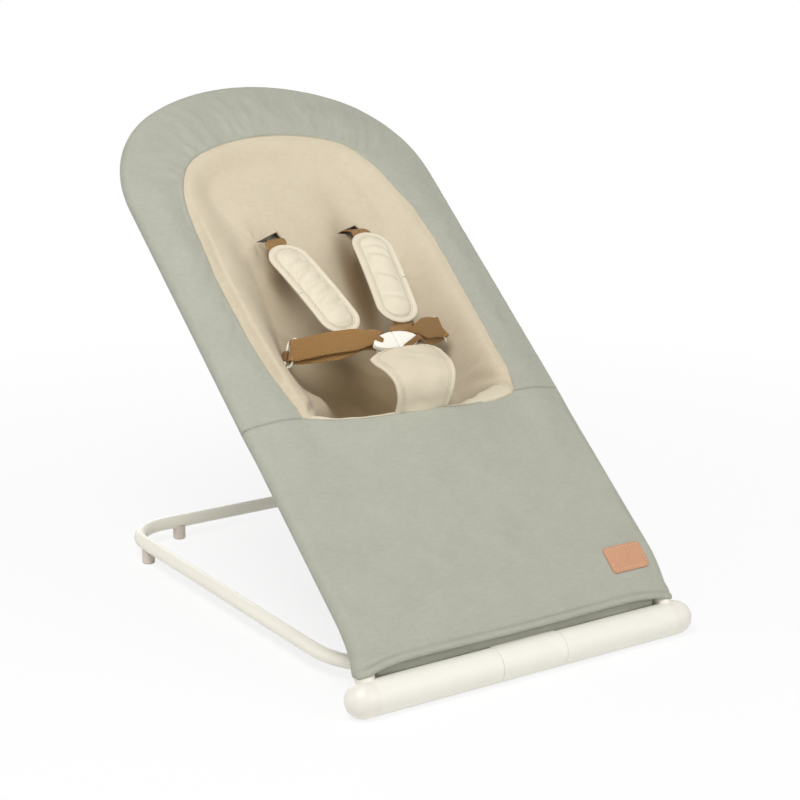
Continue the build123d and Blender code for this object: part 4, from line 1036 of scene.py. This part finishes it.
# waist webs, each folded through a wire ring and tied into the lining: out, level and across
waist = dict(tilt=25.0, face=32.0, origin=0.302, ring=(0.1070, 0.0020), far=(0.1125, -0.0078),
             ringHalf=0.0152, ringBend=0.0028, wire=0.0015, count=150, narrow=0.26, tie=0.012,
             tieDrop=(-0.40, 0.48, -0.78))
waistLoop = [(0.052, 0.0385, 0.0016), (0.075, 0.0250, 0.0016), (0.096, 0.0110, 0.0008), (0.1052, 0.0055, 0.0),
             (0.1090, 0.0040, 0.0), (0.1101, 0.0010, 0.0), (0.1082, -0.0012, 0.0), (0.1040, 0.0002, 0.0),
             (0.093, 0.0060, -0.0008), (0.074, 0.0185, -0.0022), (0.052, 0.0325, -0.0036)]
waistEnds = {"Left": ([(0.0205, 0.0503, -0.0015), (0.0265, 0.0500, -0.0005), (0.037, 0.0466, 0.0010)],
                      [(0.038, 0.0405, -0.0046), (0.0250, 0.0440, -0.0050)]),
             "Right": ([(0.0255, 0.0455, 0.0060), (0.0300, 0.0470, 0.0050), (0.038, 0.0460, 0.0034)],
                       [(0.040, 0.0425, -0.0050), (0.0330, 0.0480, -0.0062), (0.0250, 0.0536, -0.0070),
                        (0.0020, 0.0545, -0.0072)])}
tieLoop = ((0.034, 0.0016), (0.016, 0.0018), (0.004, 0.0019), (-0.0020, 0.0), (0.004, -0.0019),
           (0.016, -0.0018), (0.034, -0.0016))
tilt, faceTurn = math.radians(waist["tilt"]), math.radians(waist["face"])


def hip(side, r, n, q=0.0):  # out along the waist strap, level, and across it
    flatQ = q * math.cos(faceTurn)
    return place(side * (r * math.cos(tilt) - flatQ * math.sin(tilt)),
                 waist["origin"] + r * math.sin(tilt) + flatQ * math.cos(tilt), n + q * math.sin(faceTurn))


def wireRing(name, points, radius, around=12):  # closed round rod along a path
    ahead = unit(np.roll(points, -1, 0) - np.roll(points, 1, 0))
    aside = unit(np.cross(ahead, outDir))
    above = np.cross(aside, ahead)
    t = np.linspace(0, 2 * math.pi, around, endpoint=False)[:, None]
    grid = points[:, None] + radius * (aside[:, None] * np.cos(t) + above[:, None] * np.sin(t))
    return outward(gridMesh(name, grid, wrapRows=True, wrapCols=True))


for sideName, side in sides:
    low = sideName.lower()
    first, last = waistEnds[sideName]
    path = smoothRun([hip(side, *knot) for knot in first + waistLoop + last], waist["count"])
    across = hip(side, 0.0, 0.0, 1.0) - hip(side, 0.0, 0.0)
    level = -side * math.sin(tilt) * acrossDir + math.cos(tilt) * upDir
    step = np.arange(waist["count"])
    full = ramp(step, -4, 26) * ramp(step[::-1] - (14 if side > 0 else 4), 0, 30)
    width = harness["web"] * (waist["narrow"] + (1 - waist["narrow"]) * full)
    lying = ramp(step, 116, 138)[:, None] * (side > 0)  # the right web's end lies flat on the buckle
    aside = across * (1 - lying) + level * lying
    ribbon("waistStrap" + sideName, path, aside, width, tanWeb, "waist_strap_" + low)
    corners = [hip(side, *waist[end], q * waist["ringHalf"])
               for end, q in (("ring", 1), ("far", 1), ("far", -1), ("ring", -1))]
    ringPath = []
    for before, here, after in zip(corners[-1:] + corners, corners, corners[1:] + corners[:1]):
        back, ahead = waist["ringBend"] * unit(before - here), waist["ringBend"] * unit(after - here)
        ringPath += [here + back * (1 - t) ** 2 + ahead * t ** 2 for t in np.linspace(0, 1, 7)]
        ringPath += [here * (1 - t) + after * t for t in np.linspace(0.2, 0.8, 5)]
    made = wireRing("waistRing" + sideName, np.array(ringPath), waist["wire"])
    dress(made, buckleShell, "seat", "buckle_plastic", "waist_ring_" + low)
    dropX, dropS, dropN = waist["tieDrop"]
    drop = unit(side * dropX * acrossDir + dropS * upDir + dropN * outDir)
    beside = unit(np.cross(across, drop))
    path = smoothRun([hip(side, *waist["far"]) + drop * d + beside * w for d, w in tieLoop], 80)
    ribbon("waistAnchor" + sideName, path, across, waist["tie"], tanWeb, "waist_anchor_" + low)
print("waist straps made")

# leather patch laid on the front panel's lower corner
patch = dict(half=0.025, tall=0.0145, corner=0.0045, x=0.159, up=0.0035, inset=0.0030, rowCorner=0.0035,
             rowLift=0.0017)
# share of the outline and height of each ring, with a groove under the stitches
patchRings = ((1.0, 0.0), (1.0, 0.0008), (0.995, 0.0013), (0.980, 0.0016), (0.93, 0.00165), (0.885, 0.00135),
              (0.84, 0.0017), (0.7, 0.0018), (0.45, 0.0018), (0.2, 0.0018), (0.02, 0.0018))
patchMid = np.array(sum(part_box("leather_patch"), Vector())) / 2
tryA = np.linspace(0.0, 0.15, 600)
tryS, tryN, tryLean = sideCurve(tryA)
tried = place(patch["x"], tryS - front["roll"] * np.sin(tryLean), tryN + front["roll"] * np.cos(tryLean))
patchA = tryA[np.linalg.norm(tried - patchMid, axis=1).argmin()] + patch["up"]


def softBox(half, tall, corner, count):  # rounded rectangle, evenly spaced
    x, y = half - corner, tall - corner
    loop = quarters(((x, y, 0, corner), (-x, y, 90, corner), (-x, -y, 180, corner), (x, -y, 270, corner)))
    loop = np.array(loop + loop[:1])
    run = runLength(loop)
    even = np.linspace(0, run[-1], count, endpoint=False)
    return np.stack([np.interp(even, run, column) for column in loop.T], -1)


rimBox = softBox(patch["half"], patch["tall"], patch["corner"], 120)
grid = [onFront(patch["x"] + rimBox[:, 0] * f, patchA + rimBox[:, 1] * f, h) for f, h in patchRings]
patchUv = np.stack([np.vstack([rimBox, rimBox[:1]]) * f for f, _ in patchRings])
leatherPatch = outward(gridMesh("leatherPatch", np.array(grid), patchUv, wrapCols=True, caps=True))
dress(leatherPatch, patchHide, "seat", "patch_leather", "leather_patch")
rowBox = softBox(patch["half"] - patch["inset"], patch["tall"] - patch["inset"], patch["rowCorner"], 140)
patchRow = onFront(patch["x"] + rowBox[:, 0], patchA + rowBox[:, 1], patch["rowLift"])
print("patch made")


def stitchTree():  # short threads set along rows
    tree = bpy.data.node_groups.new("stitching", "GeometryNodeTree")
    tree.interface.new_socket("Rows", in_out="INPUT", socket_type="NodeSocketGeometry")
    for label in ("Pitch", "Length", "Width"):
        tree.interface.new_socket(label, in_out="INPUT", socket_type="NodeSocketFloat")
    tree.interface.new_socket("Thread", in_out="INPUT", socket_type="NodeSocketMaterial")
    tree.interface.new_socket("Stitches", in_out="OUTPUT", socket_type="NodeSocketGeometry")
    made = {key: tree.nodes.new(kind) for key, kind in (
        ("given", "NodeGroupInput"), ("line", "GeometryNodeMeshToCurve"),
        ("spots", "GeometryNodeCurveToPoints"), ("thread", "GeometryNodeMeshUVSphere"),
        ("turn", "FunctionNodeAlignRotationToVector"), ("size", "ShaderNodeCombineXYZ"),
        ("put", "GeometryNodeInstanceOnPoints"), ("real", "GeometryNodeRealizeInstances"),
        ("look", "GeometryNodeSetMaterial"), ("done", "NodeGroupOutput"))}
    made["spots"].mode = "LENGTH"
    made["turn"].axis = "X"
    for socket, value in (("Segments", 6), ("Rings", 5), ("Radius", 1.0)):
        made["thread"].inputs[socket].default_value = value
    for source, output, target, socket in (
            ("given", "Rows", "line", "Mesh"), ("line", "Curve", "spots", "Curve"),
            ("given", "Pitch", "spots", "Length"), ("spots", "Tangent", "turn", "Vector"),
            ("given", "Length", "size", "X"), ("given", "Width", "size", "Y"),
            ("given", "Width", "size", "Z"),
            ("spots", "Points", "put", "Points"), ("thread", "Mesh", "put", "Instance"),
            ("turn", "Rotation", "put", "Rotation"), ("size", "Vector", "put", "Scale"),
            ("put", "Instances", "real", "Geometry"), ("real", "Geometry", "look", "Geometry"),
            ("given", "Thread", "look", "Material"), ("look", "Geometry", "done", "Stitches")):
        tree.links.new(made[source].outputs[output], made[target].inputs[socket])
    return tree


def stitches(name, rows, thread, body, slotName, pitch, length, width):
    verts, edges = [], []
    for row in rows:
        edges += [(len(verts) + k, len(verts) + k + 1) for k in range(len(row) - 1)]
        verts += [tuple(p) for p in row]
    mesh = bpy.data.meshes.new(name)
    mesh.from_pydata(verts, edges, [])
    made = linked(name, mesh)
    rig = made.modifiers.new("stitching", "NODES")
    rig.node_group = stitchNodes
    wanted = {"Pitch": pitch, "Length": length, "Width": width, "Thread": thread}
    for item in stitchNodes.interface.items_tree:
        if item.name in wanted:
            rig[item.identifier] = wanted[item.name]
    baked(made)
    made.data.shade_smooth()
    dress(made, thread, body, slotName)


# pitch, half length and half width of each kind of stitch
sewing = dict(hem=(0.0034, 0.0012, 0.00028), cloth=(0.0030, 0.0011, 0.00026), joint=(0.0007, 0.0007, 0.00030),
              patch=(0.0042, 0.0016, 0.00055))
stitchNodes = stitchTree()
hemX = np.linspace(-strip["half"], strip["half"], 140)
hemRow = onFront(hemX, hemLine(np.abs(hemX) / seat["half"]) + front["hemAt"] + 0.0006, 0.0002)
stitches("hemStitches", [hemRow], sageThread, "seat", "green_fabric", *sewing["hem"])
stitches("crotchStitches", crotchRows, creamThread, "seat", "cream_fabric", *sewing["cloth"])
for sideName, _ in sides:
    body = "shoulder_pad_" + sideName.lower()
    stitches("padStitches" + sideName, padRows[sideName], creamThread, body, "pad_fabric", *sewing["cloth"])
for sideName, _ in sides:
    body = "shoulder_pad_" + sideName.lower()
    stitches("padJoint" + sideName, [padJoints[sideName]], creamThread, body, "pad_fabric", *sewing["joint"])
patchRow = np.vstack([patchRow, patchRow[:1]])
stitches("patchStitches", [patchRow], tanThread, "seat", "patch_leather", *sewing["patch"])
print("stitches made")

# the lining and the under layer each get a mesh of their own
for piece in (dish, underLayer):
    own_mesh(piece)

# floor, light and camera
sweep = dict(half=20.0, shadow=0.22, reach=1.3, world=0.28)
shownTo = ("Is Camera Ray", "Is Glossy Ray", "Is Transmission Ray")  # what sees the white backdrop


def sees(net):
    return sum(net.node("ShaderNodeLightPath", out=ray) for ray in shownTo)


floorMesh = bpy.data.meshes.new("paleFloor")
h = sweep["half"]
floorMesh.from_pydata([(-h, -h, 0), (h, -h, 0), (h, h, 0), (-h, h, 0)], [], [(0, 1, 2, 3)])
floor = linked("paleFloor", floorMesh)
ground = Finish("paleFloor", Base_Color=(0.93, 0.93, 0.93, 1.0), Roughness=0.9)
far = ground.node("ShaderNodeVectorMath", {"operation": "LENGTH"}, {0: ground.where("Object")}, out="Value")
close = ground.node("ShaderNodeMath", {"operation": "SUBTRACT", "use_clamp": True},
                    {0: 1.0, 1: far * (1 / sweep["reach"])})
glow = ground.node("ShaderNodeEmission", None, {"Color": (1, 1, 1, 1), "Strength": 1.0})
lit = Lead(ground, ground.shader.outputs[0])
ground.show("Material Output", sees(ground) * (1 - close * sweep["shadow"]), lit, glow)
floorMesh.materials.append(ground.material)

world = bpy.data.worlds.new("studio")
scene.world = world
world.use_nodes = True
sky = Net(world.node_tree)
dim, bright = (sky.node("ShaderNodeBackground", None, {"Color": (1, 1, 1, 1), "Strength": strength})
               for strength in (sweep["world"], 1.0))
sky.show("World Output", sees(sky), dim, bright)


def softbox(name, spot, target, size, power):
    lamp = bpy.data.lights.new(name, "AREA")
    lamp.shape, lamp.size, lamp.energy = "DISK", size, power
    made = linked(name, lamp)
    made.location = spot
    made.rotation_euler = (Vector(target) - Vector(spot)).to_track_quat("-Z", "Y").to_euler()


softbox("keyBox", (-1.00, -0.90, 2.2), (0, 0, 0.25), 1.3, 38.0)
softbox("fillBox", (0.9, -2.3, 1.2), (0, 0, 0.2), 1.6, 17.0)
softbox("sideBox", (-2.3, 0.9, 0.9), (0, 0.1, 0.15), 1.4, 7.0)
softbox("backBox", (0.8, 2.4, 0.45), (0, 0.1, 0.2), 1.3, 11.0)

shot = dict(spot=(-1.2138, -1.8956, 0.8645), ahead=(0.53018, 0.80268, -0.27316), lens=93.45, roll=0.095)
camera = bpy.data.cameras.new("shot")
camera.lens, camera.sensor_width, camera.sensor_fit = shot["lens"], 36.0, "AUTO"
scene.camera = linked("shot", camera)
scene.camera.location = shot["spot"]
aim = Vector(shot["ahead"]).to_track_quat("-Z", "Y").to_euler()
aim.rotate_axis("Z", math.radians(shot["roll"]))
scene.camera.rotation_euler = aim
print("stage set")
